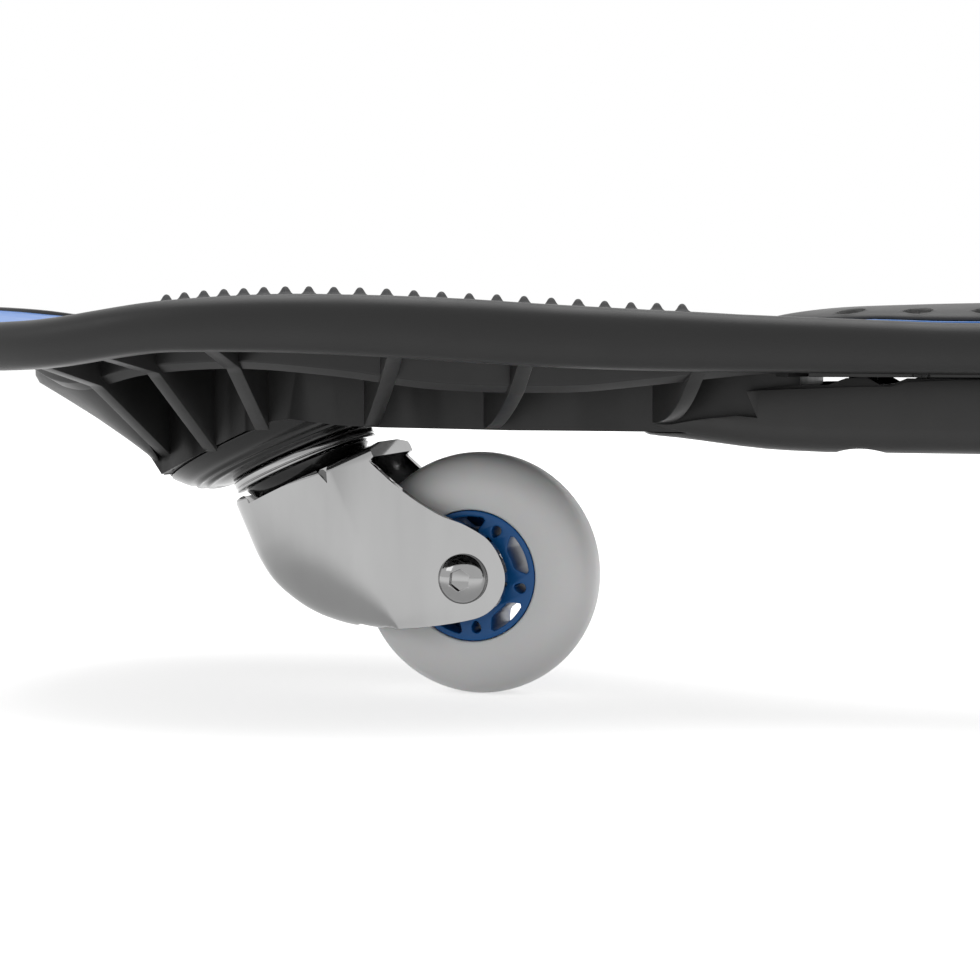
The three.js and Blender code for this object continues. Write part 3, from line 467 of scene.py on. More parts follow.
def finish_piece(obj, body, slot, *nodes, material=None):
    obj.data.materials.clear()
    obj.data.materials.append(material or FINISH[slot])
    obj.data.polygons.foreach_set("material_index", [0] * len(obj.data.polygons))
    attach(obj, body)
    if nodes:
        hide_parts(*nodes)
    return obj


# Materials

class Socket:
    """A shader value with arithmetic. Each operation adds a Math node."""

    def __init__(self, shader, link):
        self.shader = shader
        self.link = link

    def _maths(self, operation, *values):
        return self.shader.node("ShaderNodeMath", {"operation": operation}, dict(enumerate(values)))

    def __add__(self, other):
        return self._maths("ADD", self, other)

    def __mul__(self, other):
        return self._maths("MULTIPLY", self, other)

    def clipped(self):
        return self.shader.node("ShaderNodeClamp", {}, {"Value": self})


class Shader:
    """One node material."""

    def __init__(self, name):
        self.material = bpy.data.materials.new(name)
        self.material.use_nodes = True
        self.tree = self.material.node_tree
        self.tree.nodes.clear()
        self.surface = self.tree.nodes.new("ShaderNodeBsdfPrincipled")
        out = self.tree.nodes.new("ShaderNodeOutputMaterial")
        self.tree.links.new(self.surface.outputs["BSDF"], out.inputs["Surface"])

    def node(self, kind, settings, inputs, output=0):
        made = self.tree.nodes.new(kind)
        for key, value in settings.items():
            setattr(made, key, value)
        for key, value in inputs.items():
            self.put(made.inputs[key], value)
        return Socket(self, made.outputs[output])

    def put(self, socket, value):
        if isinstance(value, Socket):
            self.tree.links.new(value.link, socket)
        else:
            socket.default_value = value

    def set(self, **inputs):
        for key, value in inputs.items():
            self.put(self.surface.inputs[key.replace("_", " ")], value)
        return self

    def place(self, stretch=(1, 1, 1)):
        coordinates = self.node("ShaderNodeTexCoord", {}, {}, "Object")
        return self.node("ShaderNodeMapping", {}, {"Vector": coordinates, "Scale": stretch})

    def noise(self, scale, detail=3.0, roughness=0.55, stretch=(1, 1, 1)):
        inputs = {
            "Vector": self.place(stretch), "Scale": scale, "Detail": detail, "Roughness": roughness,
        }
        return self.node("ShaderNodeTexNoise", {}, inputs, "Fac")

    def mix(self, share, low, high):
        return self.node(
            "ShaderNodeMix", {"data_type": "RGBA"}, {0: share, 6: low, 7: high}, 2,
        )

    def spread(self, value, low, high, to_low=0.0, to_high=1.0):
        inputs = {"Value": value, 1: low, 2: high, 3: to_low, 4: to_high}
        return self.node("ShaderNodeMapRange", {}, inputs)

    def bump(self, height, strength, distance):
        inputs = {"Height": height, "Strength": strength, "Distance": distance}
        return self.node("ShaderNodeBump", {}, inputs)


def grey(level):
    return level, level, level, 1


def moulded_plastic(name, dark, light, roughness, grain=0.25, specular=0.5):
    """Injection-moulded plastic: fine spark texture, faint flow marks and rubbed patches."""
    s = Shader(name)
    flow = s.noise(14, 2.0, 0.5, (0.35, 1, 1))
    rubbed = s.noise(60, 5.0, 0.6)
    grains = s.noise(2600, 2.0, 0.5)
    colour = s.mix(s.spread(flow, 0.35, 0.65), dark, light)
    gloss = s.spread(rubbed, 0.3, 0.7, roughness - 0.05, roughness + 0.06)
    s.set(
        Base_Color=colour, Roughness=gloss, Specular_IOR_Level=specular,
        Normal=s.bump(grains, grain, 0.00006),
    )
    return s.material


def grip_rubber():
    s = Shader("grip rubber")
    dust = s.noise(90, 5.0, 0.65)
    grains = s.noise(1800, 3.0, 0.6)
    colour = s.mix(s.spread(dust, 0.35, 0.75), (0.022, 0.022, 0.023, 1), grey(0.06))
    s.set(
        Base_Color=colour, Roughness=s.spread(dust, 0.3, 0.7, 0.5, 0.68),
        Normal=s.bump(grains, 0.5, 0.0001),
    )
    return s.material


def chrome_plate():
    """Polished plate: near-mirror, with faint wipe marks and a slight ripple of the drawn sheet."""
    s = Shader("chrome plate")
    wipes = s.noise(40, 6.0, 0.6, (1, 1, 0.25))
    ripple = s.noise(26, 1.0, 0.4)
    colour = s.mix(s.spread(wipes, 0.4, 0.8), grey(0.34), grey(0.3))
    s.set(
        Base_Color=colour, Metallic=1.0, Roughness=s.spread(wipes, 0.35, 0.75, 0.06, 0.13),
        Normal=s.bump(ripple, 0.12, 0.0004),
    )
    return s.material


def zinc_plate():
    s = Shader("zinc plate")
    cloud = s.noise(160, 4.0, 0.6)
    lines = s.noise(900, 3.0, 0.6, (1, 1, 0.15))
    colour = s.mix(s.spread(cloud, 0.3, 0.7), (0.46, 0.47, 0.49, 1), (0.6, 0.6, 0.59, 1))
    s.set(
        Base_Color=colour, Metallic=1.0, Roughness=s.spread(cloud, 0.3, 0.7, 0.24, 0.36),
        Normal=s.bump(lines, 0.15, 0.00005),
    )
    return s.material


def cast_urethane():
    """Wheel tyre: pale cast polyurethane, faintly cloudy, with fine dull scuffs all over."""
    s = Shader("cast urethane")
    cloud = s.noise(35, 3.0, 0.5)
    scuffs = s.noise(420, 5.0, 0.65)
    colour = s.mix(s.spread(cloud, 0.3, 0.7), grey(0.85), grey(0.9))
    s.set(
        Base_Color=colour, Roughness=s.spread(scuffs, 0.3, 0.75, 0.3, 0.42),
        Subsurface_Weight=0.15, Subsurface_Scale=0.004, Normal=s.bump(scuffs, 0.12, 0.00008),
    )
    return s.material


# Material of each slot
FINISH = {
    "black_plastic": moulded_plastic(
        "black plastic", (0.0095, 0.0094, 0.0094, 1), (0.013, 0.0129, 0.0129, 1), 0.4, specular=0.35,
    ),
    "grey_plastic": moulded_plastic(
        "grey plastic", (0.014, 0.0138, 0.0136, 1), (0.019, 0.0187, 0.0184, 1), 0.44, specular=0.4,
    ),
    "blue_plastic": moulded_plastic("blue plastic", (0.05, 0.19, 0.56, 1), (0.06, 0.22, 0.62, 1), 0.36),
    "hub_plastic": moulded_plastic(
        "deep blue plastic", (0.007, 0.11, 0.35, 1), (0.012, 0.14, 0.43, 1), 0.3, 0.12, specular=0.35,
    ),
    "grip_rubber": grip_rubber(),
    "chrome": chrome_plate(),
    "steel": zinc_plate(),
    "urethane": cast_urethane(),
}
# Glossy black: the seat cups' own finish, and painted shade on the steel lower races and the torsion
# bar clamps
BLACK_LACQUER_AND_PAINTED_SHADE = moulded_plastic("black lacquer", grey(0.006), grey(0.009), 0.2, 0.06, specular=0.45)


# Deck

def bar_round(sign, side, section):
    """Rings of a section that follows an outline round one half. Section points are (outwards, z)."""
    path = side + [(d, -y) for d, y in reversed(side[:-1])]
    last = len(path) - 1
    rings = []
    for i, (d, y) in enumerate(path):
        d0, y0 = path[max(i - 1, 0)]
        d1, y1 = path[min(i + 1, last)]
        length = math.hypot(d1 - d0, y1 - y0)
        at_end = i in (0, last)
        nd = 0 if at_end else (y0 - y1) / length
        ny = math.copysign(1, y) if at_end else (d1 - d0) / length
        rings.append([(sign * (d + nd * out), y + ny * out, z) for out, z in section(d)])
    return loft(rings)


def rim_section(d):
    low, high = rim_bottom(d), rim_top(d)
    middle, rise, half = (low + high) / 2, (high - low) / 2, RIM_WIDTH / 2
    outer = []
    for angle in steps(-QUARTER, QUARTER, 20):
        c, s = math.cos(angle), math.sin(angle)
        outer.append((half * abs(c) ** 0.78, middle + rise * math.copysign(abs(s) ** 0.8, s)))
    inner = [
        (-half + 1.6, high - 0.05), (-half + 0.5, high - 0.35), (-half, high - 1.1),
        (-half, low + 1.1), (-half + 0.5, low + 0.35), (-half + 1.6, low + 0.05),
    ]
    return outer + inner


def rim(sign):
    inset = RIM_WIDTH / 2
    side = side_outline(HALF_LENGTH - inset, lambda d: half_width(d) - inset, pitch=4, nose=60)
    return bar_round(sign, side, rim_section)


def sheet_over(sign, low, high, side):
    rings = []
    for d, y in side:
        edge = [(y, low(d)), (y, high(d)), (0, high(d)), (-y, high(d)), (-y, low(d)), (0, low(d))]
        rings.append([(sign * d, a, z) for a, z in edge])
    return loft(rings)


def inset_outline(margin):
    """Outline at an even distance inside the board's edge."""
    inset = RIM_WIDTH / 2
    path = side_outline(HALF_LENGTH - inset, lambda d: half_width(d) - inset)
    inwards = margin - inset
    points = [(path[0][0], path[0][1] - inwards)]
    for i in range(1, len(path)):
        d0, y0 = path[i - 1]
        d1, y1 = path[i + 1] if i + 1 < len(path) else (d0, -y0)
        length = math.hypot(d1 - d0, y1 - y0)
        d, y = path[i]
        points.append((d + (y1 - y0) / length * inwards, y - (d1 - d0) / length * inwards))
    return points


def skin(sign):
    return sheet_over(sign, skin_bottom, lambda d: skin_bottom(d) + SKIN_THICKNESS, inset_outline(8))


def rib_section(low, high, half=RIB_THICKNESS / 2, foot=1.6):
    """A rib's section: rounded lower edge and a small fillet where it meets the skin."""
    side = [
        (half + foot, high), (half + foot * 0.3, high - foot * 0.45), (half, high - foot * 1.3),
        (half, low + 0.4), (half - 0.12, low + 0.12), (half - 0.4, low),
    ]
    return side + [(-out, z) for out, z in reversed(side)]


def long_rib(sign):
    start = LONG_RIB_INSET[0][0]
    side = side_outline(
        LONG_RIB_NOSE, lambda d: half_width(d) - along(LONG_RIB_INSET, d), start, pitch=4,
    )

    def section(d):
        points = rib_section(along(LONG_RIB_LEVEL, d), skin_bottom(d) + 0.4)
        draft = [0, 0, 0, 2.3, 2.1, 2.0]
        return [(out, z + rise) for (out, z), rise in zip(points, draft + [0] * 6)]

    return bar_round(sign, side, section)


def wall(start, end, lower, high, count=22, half=RIB_THICKNESS / 2):
    """Upright rib between two plan points. lower and high give heights at a share of the length."""
    run = Vector((end[0] - start[0], end[1] - start[1]))
    across = Vector((-run.y, run.x)).normalized()
    rings = []
    for share in steps(0, 1, count):
        x, y = start[0] + run.x * share, start[1] + run.y * share
        section = rib_section(lower(share), high(share), half)
        rings.append([(x + across.x * out, y + across.y * out, z) for out, z in section])
    return loft(rings)


def cross_ribs(sign, ribs, spine_width):
    made = []
    for rim_d, spine_d, spine_z, curve in ribs:
        rim_y = half_width(rim_d) - RIM_WIDTH + 3
        spine_y = along(spine_width, spine_d) - 1
        middle_d = rim_d + (spine_d - rim_d) * 0.4
        rib_y = half_width(middle_d) - along(LONG_RIB_INSET, middle_d)
        share = min(max((rim_y - rib_y) / (rim_y - spine_y), 0.15), 0.7)
        middle_z = along(LONG_RIB_LEVEL, middle_d)
        start = rim_bottom(rim_d) + 1

        def lower(s):
            if s < share:
                return start + (middle_z - start) * s / share
            return spine_z + (middle_z - spine_z) * ((1 - s) / (1 - share)) ** curve

        for side in (-1, 1):
            made.append(wall(
                (sign * rim_d, side * rim_y), (sign * spine_d, side * spine_y), lower,
                lambda s: skin_bottom(rim_d + (spine_d - rim_d) * s) + 0.4,
                30,
            ))
    return gather(*made)


def neck_ribs(sign):
    inner = NECK_HALF_WIDTH - RIM_WIDTH + 2
    made = []
    for middle in NECK_CROSSINGS:
        for side in (-1, 1):
            start = (sign * (middle - NECK_CROSSING_REACH), -side * inner)
            end = (sign * (middle + NECK_CROSSING_REACH), side * inner)
            made.append(wall(start, end, lambda s: NECK_RIB_BOTTOM, lambda s: 112, 8))
    for side in (-1, 1):
        start, end = (sign * HALF_GAP, side * NECK_SILL_Y), (sign * NECK_SILL_END, side * NECK_SILL_Y)
        made.append(wall(start, end, lambda s: NECK_RIB_BOTTOM, lambda s: NECK_RIB_BOTTOM + 6, 8, 2))
    return gather(*made)


def caster_place(end):
    place = Matrix.Translation((KINGPIN_X[end], 0, RING_CENTRE_Z))
    return place @ Matrix.Rotation(math.radians(-CASTER_TILT), 4, "Y")


def wedge_bow(end):
    """Bow of the wedge ahead of the kingpin: half ovals that spread and lean forward with height."""
    back = KINGPIN_X[end] - WEDGE_BACK
    rings = []
    for z in steps(68.5, 109, 18):
        reach = straight([(s[0], s[1]) for s in WEDGE_BOW], z)
        half = straight([(s[0], s[2]) for s in WEDGE_BOW], z)
        ring = []
        for angle in steps(-QUARTER, QUARTER, 32):
            y = half * math.sin(angle)
            sweep = WEDGE_SWEEP * max(abs(y) - SPINE_END_HALF_WIDTH, 0)
            ring.append((back - (reach - WEDGE_BACK) * math.cos(angle) - sweep, y, z))
        rings.append(ring)
    return loft(rings)


def beam(sign, end):
    """Spine of the frame: its side view, as wide as the stations say."""
    width = SPINE_WIDTH[end]
    side = [(sign * d, along(width, d)) for d in steps(width[0][0], width[-1][0], 48)]
    plan = side + [(x, -y) for x, y in reversed(side)]
    spine = solid("spine", side_prism(SPINES[end], CLEAR_Y), smooth=False)
    column = prism(*([(x, y, z) for x, y in plan] for z in (0, CLEAR_Z)))
    return kept_inside(spine, solid("plan", column, smooth=False))


def core(end, sign):
    """Spine and wedge, cut square to the kingpin where the caster seats, with a round recess there."""
    place = caster_place(end)
    top = SEAT_BOTTOM + SEAT_FLANGE
    flange = lathe([(0, SEAT_BOTTOM), (SEAT_RADIUS, SEAT_BOTTOM), (SEAT_RADIUS, top), (0, top)], 120)
    wedge = solid("wedge", wedge_bow(end), smooth=False)
    seat = solid("seat", flange, place, smooth=False)
    room = [(0, -60), (SEAT_RADIUS + 1, -60), (SEAT_RADIUS + 1, SEAT_BOTTOM), (0, SEAT_BOTTOM)]
    ahead = [(-90, -60), (0, -60), (0, SEAT_BOTTOM), (-90, SEAT_BOTTOM)]
    parts = []
    for part in (wedge, beam(sign, end), seat):
        if part is not seat:
            tools = solid("room", lathe(room, 120), place), solid("ahead", side_prism(ahead, 90), place)
            cut_away(part, *tools)
        with_edges(part, 0.7, 2, 30)
        parts.append(smooth_by_angle(part, 32))
    return parts


def frame_moulding(end, sign):
    ribs = FRONT_RIBS if end == "front" else REAR_RIBS
    shapes = gather(
        rim(sign), skin(sign), long_rib(sign),
        cross_ribs(sign, ribs, SPINE_WIDTH[end]), neck_ribs(sign),
    )
    body = smooth_by_angle(solid("body", shapes), 38)
    obj = joined(f"{end}_frame_moulding", [body] + core(end, sign))
    return finish_piece(obj, f"{end}_deck", "black_plastic", f"{end}_frame")


def sheet_section(x, y, low, high, edge):
    """Section of a sheet across the board, from the points of one edge."""
    ring = edge + [(y / 2, high), (0, high), (-y / 2, high)]
    ring += [(-a, z) for a, z in reversed(edge)] + [(0, low)]
    return [(x, a, z) for a, z in ring]


def top_panel(end, sign):
    """Blue panel: just below the rim, with a softened edge along the groove between them."""
    rings = []
    for d, y in inset_outline(RIM_WIDTH + GAP):
        high, low = panel_top(d), panel_top(d) - PANEL_THICKNESS
        edge = [(y, low), (y, high - 0.5), (y - 0.15, high - 0.15), (y - 0.6, high)]
        rings.append(sheet_section(sign * d, y, low, high, edge))
    obj = smooth_by_angle(solid(f"{end}_blue_panel", loft(rings)), 40)
    return finish_piece(obj, f"{end}_deck", "blue_plastic", f"{end}_top_panel")


def stud_shape():
    """One rounded stud with a soft foot. Its place in the row is given by Geometry Nodes."""
    profile = [
        (0, 2.14), (0.42, 2.06), (0.78, 1.82), (1.12, 1.36), (1.42, 0.85), (1.72, 0.42),
        (2.05, 0.12), (2.4, -0.1), (2.4, -0.4), (0, -0.4),
    ]
    return solid("stud", lathe(profile, 12))


def stud_row(name, line, stud, material, pitch):
    """Geometry Nodes: a stud at every pitch along a line."""
    tree = bpy.data.node_groups.new(name, "GeometryNodeTree")
    face = tree.interface
    face.new_socket("Line", in_out="INPUT", socket_type="NodeSocketGeometry")
    inputs = {"Stud": "Object", "Pitch": "Float", "Seed": "Int", "Finish": "Material"}
    for label, kind in inputs.items():
        face.new_socket(label, in_out="INPUT", socket_type="NodeSocket" + kind)
    face.new_socket("Studs", in_out="OUTPUT", socket_type="NodeSocketGeometry")
    add = tree.nodes.new
    given, result = add("NodeGroupInput"), add("NodeGroupOutput")
    curve, spaced = add("GeometryNodeMeshToCurve"), add("GeometryNodeResampleCurve")
    spaced.mode = "LENGTH"
    shape, placed = add("GeometryNodeObjectInfo"), add("GeometryNodeInstanceOnPoints")
    turn, size = add("FunctionNodeRandomValue"), add("FunctionNodeRandomValue")
    turn.data_type = "FLOAT_VECTOR"
    turn.inputs[0].default_value = (0, 0, 0)
    turn.inputs[1].default_value = (0, 0, 6.2)
    size.inputs[2].default_value = 0.97
    size.inputs[3].default_value = 1.02
    real, finish = add("GeometryNodeRealizeInstances"), add("GeometryNodeSetMaterial")
    for source, output, target, entry in (
        (given, "Line", curve, "Mesh"), (curve, "Curve", spaced, "Curve"),
        (given, "Pitch", spaced, "Length"), (spaced, "Curve", placed, "Points"),
        (given, "Stud", shape, "Object"), (shape, "Geometry", placed, "Instance"),
        (given, "Seed", turn, "Seed"), (given, "Seed", size, "Seed"),
        (turn, 0, placed, "Rotation"), (size, 1, placed, "Scale"),
        (placed, "Instances", real, "Geometry"), (real, "Geometry", finish, "Geometry"),
        (given, "Finish", finish, "Material"), (finish, "Geometry", result, "Studs"),
    ):
        tree.links.new(source.outputs[output], target.inputs[entry])
    modifier = line.modifiers.new(name, "NODES")
    modifier.node_group = tree
    values = {"Stud": stud, "Pitch": pitch, "Seed": 7, "Finish": material}
    for item in face.items_tree:
        if item.item_type == "SOCKET" and item.in_out == "INPUT" and item.name in values:
            modifier[item.identifier] = values[item.name]
    return evaluated(line)


def stud_line(sign):
    """Line of the studs, along the near edge of the pad."""
    points = []
    for d in steps(FIRST_STUD_X, LAST_STUD_X, 160):
        points.append((sign * d, STUD_INSET - along(PAD_EDGE, d), pad_top(d)))
    mesh = bpy.data.meshes.new("line")
    mesh.from_pydata([Vector(p) * MM for p in points], [(i, i + 1) for i in range(len(points) - 1)], [])
    return new_object("line", mesh)


def grip_pad(end, sign):
    rings = []
    first, shoulder, last = PAD_EDGE[0][0], PAD_EDGE[4][0], PAD_EDGE[-1][0]
    for d in steps(first, shoulder, 30)[:-1] + steps(shoulder, last, 90):
        y = along(PAD_EDGE, d)
        low, high = panel_top(d) + GAP, pad_top(d)
        edge = [(y, low), (y, high - 0.5), (max(y - 0.5, 0), high)]
        rings.append(sheet_section(sign * d, y, low, high, edge))
    pad = smooth_by_angle(solid("pad", loft(rings)), 40)
    stud = stud_shape()
    row = stud_row("stud row", stud_line(sign), stud, FINISH["grip_rubber"], STUD_PITCH * MM)
    obj = joined(f"{end}_grip_pad_studded", [pad, row])
    bpy.data.objects.remove(stud)
    return finish_piece(obj, f"{end}_deck", "grip_rubber", f"{end}_grip_pad")


def neck_cover(end, sign):
    """Domed cover with a row of teardrop recesses along each side."""
    def relief(d, v):
        """Height of the surface over the dome: below it in a teardrop, a little above it round one."""
        for i in range(TEARDROP_COUNT):
            centre = TEARDROP_FIRST - TEARDROP_PITCH * i
            share = (d - centre) / TEARDROP_REACH
            if abs(share) > 1.4:
                continue
            across = abs(abs(v) - (along(COVER_WIDTH, centre) - TEARDROP_INSET))
            end_share = min(abs(share), 1)
            half = TEARDROP_HALF * ((1 - end_share**1.5) if share > 0 else math.sqrt(1 - end_share**4))
            out = max(across - half, (abs(share) - 1) * TEARDROP_REACH)
            if out < 0:
                return -TEARDROP_DEPTH * min(-out / 0.35, 1)
            return TEARDROP_LIP * max(1 - abs(out - 0.45) / 0.5, 0)
        return 0.0

    rings = []
    for d in steps(HALF_GAP, COVER_WIDTH[-1][0], 300):
        half = along(COVER_WIDTH, d)
        low = panel_top(d) + GAP
        high = max(along(COVER_TOP, d), low + 0.4)
        ring = [(sign * d, half, low)]
        for a in steps(0, math.pi, 150):
            y = half * math.cos(a)
            z = low + 0.2 + (high - low - 0.2) * math.sin(a)
            ring.append((sign * d, y, max(z + relief(d, y) * min(math.sin(a) * 2, 1), low + 0.1)))
        ring.append((sign * d, -half, low))
        rings.append(ring)
    obj = smooth_by_angle(solid(f"{end}_neck_cover_moulding", loft(rings)), 50)
    return finish_piece(obj, f"{end}_deck", "grey_plastic", f"{end}_neck_cover")


# Torsion housing

def housing_rings(sign, shape, shrink, start):
    stop = shape["width"][-1][0] - shrink
    corners = [d for d, _ in shape["width"] + shape["bottom"] if start < d < stop]
    places = [start]
    for d in sorted(corners + steps(start, stop, 60)):
        if d - places[-1] > 0.2:
            places.append(d)
    places[-1] = stop
    rings = []
    for d in places:
        half = straight(shape["width"], d) - shrink
        low = straight(shape["bottom"], d) + shrink
        high = HOUSING_TOP + (6 if shrink else 0)
        r = min(HOUSING_CORNER, (high - low) * 0.8, half * 0.8)
        side = [(half, high)]
        for a in steps(0, QUARTER, 8):
            side.append((half - r + r * math.cos(a), low + r - r * math.sin(a)))
        ring = side + [(-y, z) for y, z in reversed(side)]
        rings.append([(sign * d, y, z) for y, z in ring])
    return loft(rings)


# Round recess for a screw head, about its own axis
DISH = [(0, -1), (7.3, -1), (7.3, 0), (6.2, 0.5), (5, 1.1), (3.9, 1.4), (3.9, 2), (0, 2)]


def torsion_housing(end, sign):
    """Boat-shaped cover under the neck: its walls step down outside and follow the ribs above."""
    shape = HOUSINGS[end]

    def tool(name, outline, half, y=0):
        block = side_prism([(sign * d, z) for d, z in outline], half)
        return solid(name, block, Matrix.Translation((0, y, 0)))

    obj = solid(f"{end}_housing_shell", housing_rings(sign, shape, 0, HALF_GAP))
    start, low = SPINE_END - 2, SPINE_BOTTOM - GAP
    spine_room = [(start, low), (220, low), (220, CLEAR_Z), (start, CLEAR_Z)]
    above = [(220, 140), (-10, 140)]
    tools = [
        solid("inside", housing_rings(sign, shape, HOUSING_WALL, HALF_GAP - 5)),
        tool("spine room", spine_room, SPINE_END_HALF_WIDTH + GAP),
        tool("edge", shape["edge"] + above, CLEAR_Y),
        tool("step", shape["step"] + above, 15, HOUSING_TONGUE_Y + 15),
        tool("step", shape["step"] + above, 15, -HOUSING_TONGUE_Y - 15),
    ]
    for d in (BUSH_X, CLAMP_X[end]):
        tools.append(solid("dish", lathe(DISH, 48), Matrix.Translation((sign * d, 0, HOUSING_BOTTOM))))
    roller = lathe([(0, -40), (GROOVE_RADIUS, -40), (GROOVE_RADIUS, 40), (0, 40)], 180)
    axis = Matrix.Translation((sign * GROOVE_X[end], 0, HOUSING_BOTTOM + GROOVE_DEPTH - GROOVE_RADIUS))
    tools.append(solid("groove", roller, axis @ Matrix.Rotation(QUARTER, 4, "X")))
    cut_away(obj, *tools)
    with_edges(obj, 0.4, 2, 50)
    smooth_by_angle(obj, 40)
    return finish_piece(obj, f"{end}_deck", "grey_plastic", f"{end}_torsion_housing")


def cross_head(radius, height, recess):
    """Pan-head screw looking down -Z, with a cross recess."""
    rise = [(0, -height), (radius * 0.55, -height * 0.96), (radius * 0.85, -height * 0.75),
            (radius, -height * 0.35), (radius, 0), (radius * 0.55, 0), (radius * 0.55, 3), (0, 3)]
    obj = solid("screw", lathe(rise, 40))
    arm, floor = radius * 0.58, recess - height
    outline = [(-arm, -height - 1), (arm, -height - 1), (arm * 0.55, floor), (-arm * 0.55, floor)]
    bar = side_prism(outline, radius * 0.13)
    cut_away(obj, *(solid("bar", bar, Matrix.Rotation(angle, 4, "Z")) for angle in (0, QUARTER)))
    with_edges(obj, 0.08, 2, 40)
    return smooth_by_angle(obj, 35)


def housing_screws(end, sign):
    head = cross_head(3.6, 1.1, 0.7)
    for i, d in enumerate((BUSH_X, CLAMP_X[end])):
        name = f"{end}_housing_screw_{i + 1}"
        mesh = head.data.copy()
        mesh.transform(in_metres(Matrix.Translation((sign * d, 0, HOUSING_BOTTOM + 1.3))))
        finish_piece(new_object(name + "_head", mesh), f"{end}_deck", "steel", name)
    bpy.data.objects.remove(head)


# Caster

# Across the caster at its axle, with Z along the axle
AXLE_PLACE = Matrix.Translation((AXLE[0], 0, AXLE[1])) @ Matrix.Rotation(QUARTER, 4, "X")


def turned_piece(name, profile, end, body, slot, *nodes, angle=30, bevel=0.15, material=None):
    obj = solid(name, lathe(profile, 96), caster_place(end))
    with_edges(obj, bevel, 2, angle)
    smooth_by_angle(obj, angle)
    return finish_piece(obj, body, slot, *nodes, material=material)


def seat_cup(end):
    """Black cup under the deck: stepped lips outside and a smooth cone down to the swivel ring."""
    profile = [
        (RACE_BORE, 2.2), (24.6, 2.1), (26.2, 2.5), (28.2, 3.1), (29.4, 3.6), (30.2, 3.7), (31.4, 3.4),
        (32.2, 3.7), (32.6, 4.5), (33.4, 4.9), (34.6, 4.8), (35.2, 5.2), (35.4, 5.9), (36.2, 6.5),
        (37.0, 6.7), (38.4, 7.9), (40.2, 9.7), (41.2, 10.8), (41.2, 11.2), (RACE_BORE, 11.2),
    ]
    return turned_piece(
        f"{end}_seat_cup", profile, end, f"{end}_deck", "black_plastic",
        f"{end}_seat_plate", f"{end}_upper_race", material=BLACK_LACQUER_AND_PAINTED_SHADE,
    )


def swivel_ring(end):
    profile = [
        (RACE_BORE, 1.7), (23.2, 1.7), (23.9, 1.45), (24, 1.1), (24, -0.45), (23.7, -0.6),
        (23.7, -0.85), (24, -1.0), (24, -1.5), (23.6, -1.75), (RACE_BORE, -1.7),
    ]
    return turned_piece(
        f"{end}_swivel_ring", profile, end, f"{end}_fork", "chrome", f"{end}_race_cover",
        bevel=0.1, angle=25,
    )


def lower_race(end):
    # The race is steel; the glossy black it gets is painted shade under the swivel ring
    profile = [(RACE_BORE, -6), (18, -6), (19.4, -4.8), (21, -2.3), (20.6, -2), (RACE_BORE, -2)]
    return turned_piece(
        f"{end}_lower_race_ring", profile, end, f"{end}_fork", "steel", f"{end}_lower_race",
        material=BLACK_LACQUER_AND_PAINTED_SHADE,
    )


def fork_shell(shrink, top, rear, reach):
    """Level rings of the fork: a half oval in front and two flat legs, with a bend along the top."""
    rings = []
    bend = [] if shrink else [(-FORK_TOP + FORK_BEND * (1 - math.sin(a)), FORK_BEND * (1 - math.cos(a)))
                              for a in steps(QUARTER, 0, 12)]
    start = top if shrink else -FORK_TOP + FORK_BEND
    depths = bend + [(d, 0) for d in steps(start, reach, 56)[0 if shrink else 1:]]
    nose_line = [(-z, nose) for z, nose in FORK_NOSE]
    fade = [(-FORK_TOP + FORK_BEND, 1), (23, 0)]
    for depth, inset in depths:
        nose = along(nose_line, depth) + shrink + inset
        half = FORK_HALF_WIDTH - shrink - inset
        slope = 0 if shrink else LIP_SLOPE * straight(fade, depth)
        ring = [(rear, -half, -depth)]
        for a in steps(-QUARTER, QUARTER, 64):
            back = (FORK_FLAT_X - nose) * math.cos(a)
            ring.append((FORK_FLAT_X - back, half * math.sin(a), slope * back - depth))
        ring.append((rear, half, -depth))
        rings.append(ring)
    return loft(rings)


def smooth_path(points, share=8):
    """Catmull-Rom curve through points, without its last point."""
    made = []
    for i in range(len(points) - 1):
        p0, p1 = Vector(points[max(i - 1, 0)]), Vector(points[i])
        p2, p3 = Vector(points[i + 1]), Vector(points[min(i + 2, len(points) - 1)])
        for t in steps(0, 1, share)[:-1]:
            made.append(tuple(0.5 * (
                2 * p1 + (p2 - p0) * t + (2 * p0 - 5 * p1 + 4 * p2 - p3) * t**2
                + (3 * p1 - p0 - 3 * p2 + p3) * t**3
            )))
    return made + [tuple(points[-1])]


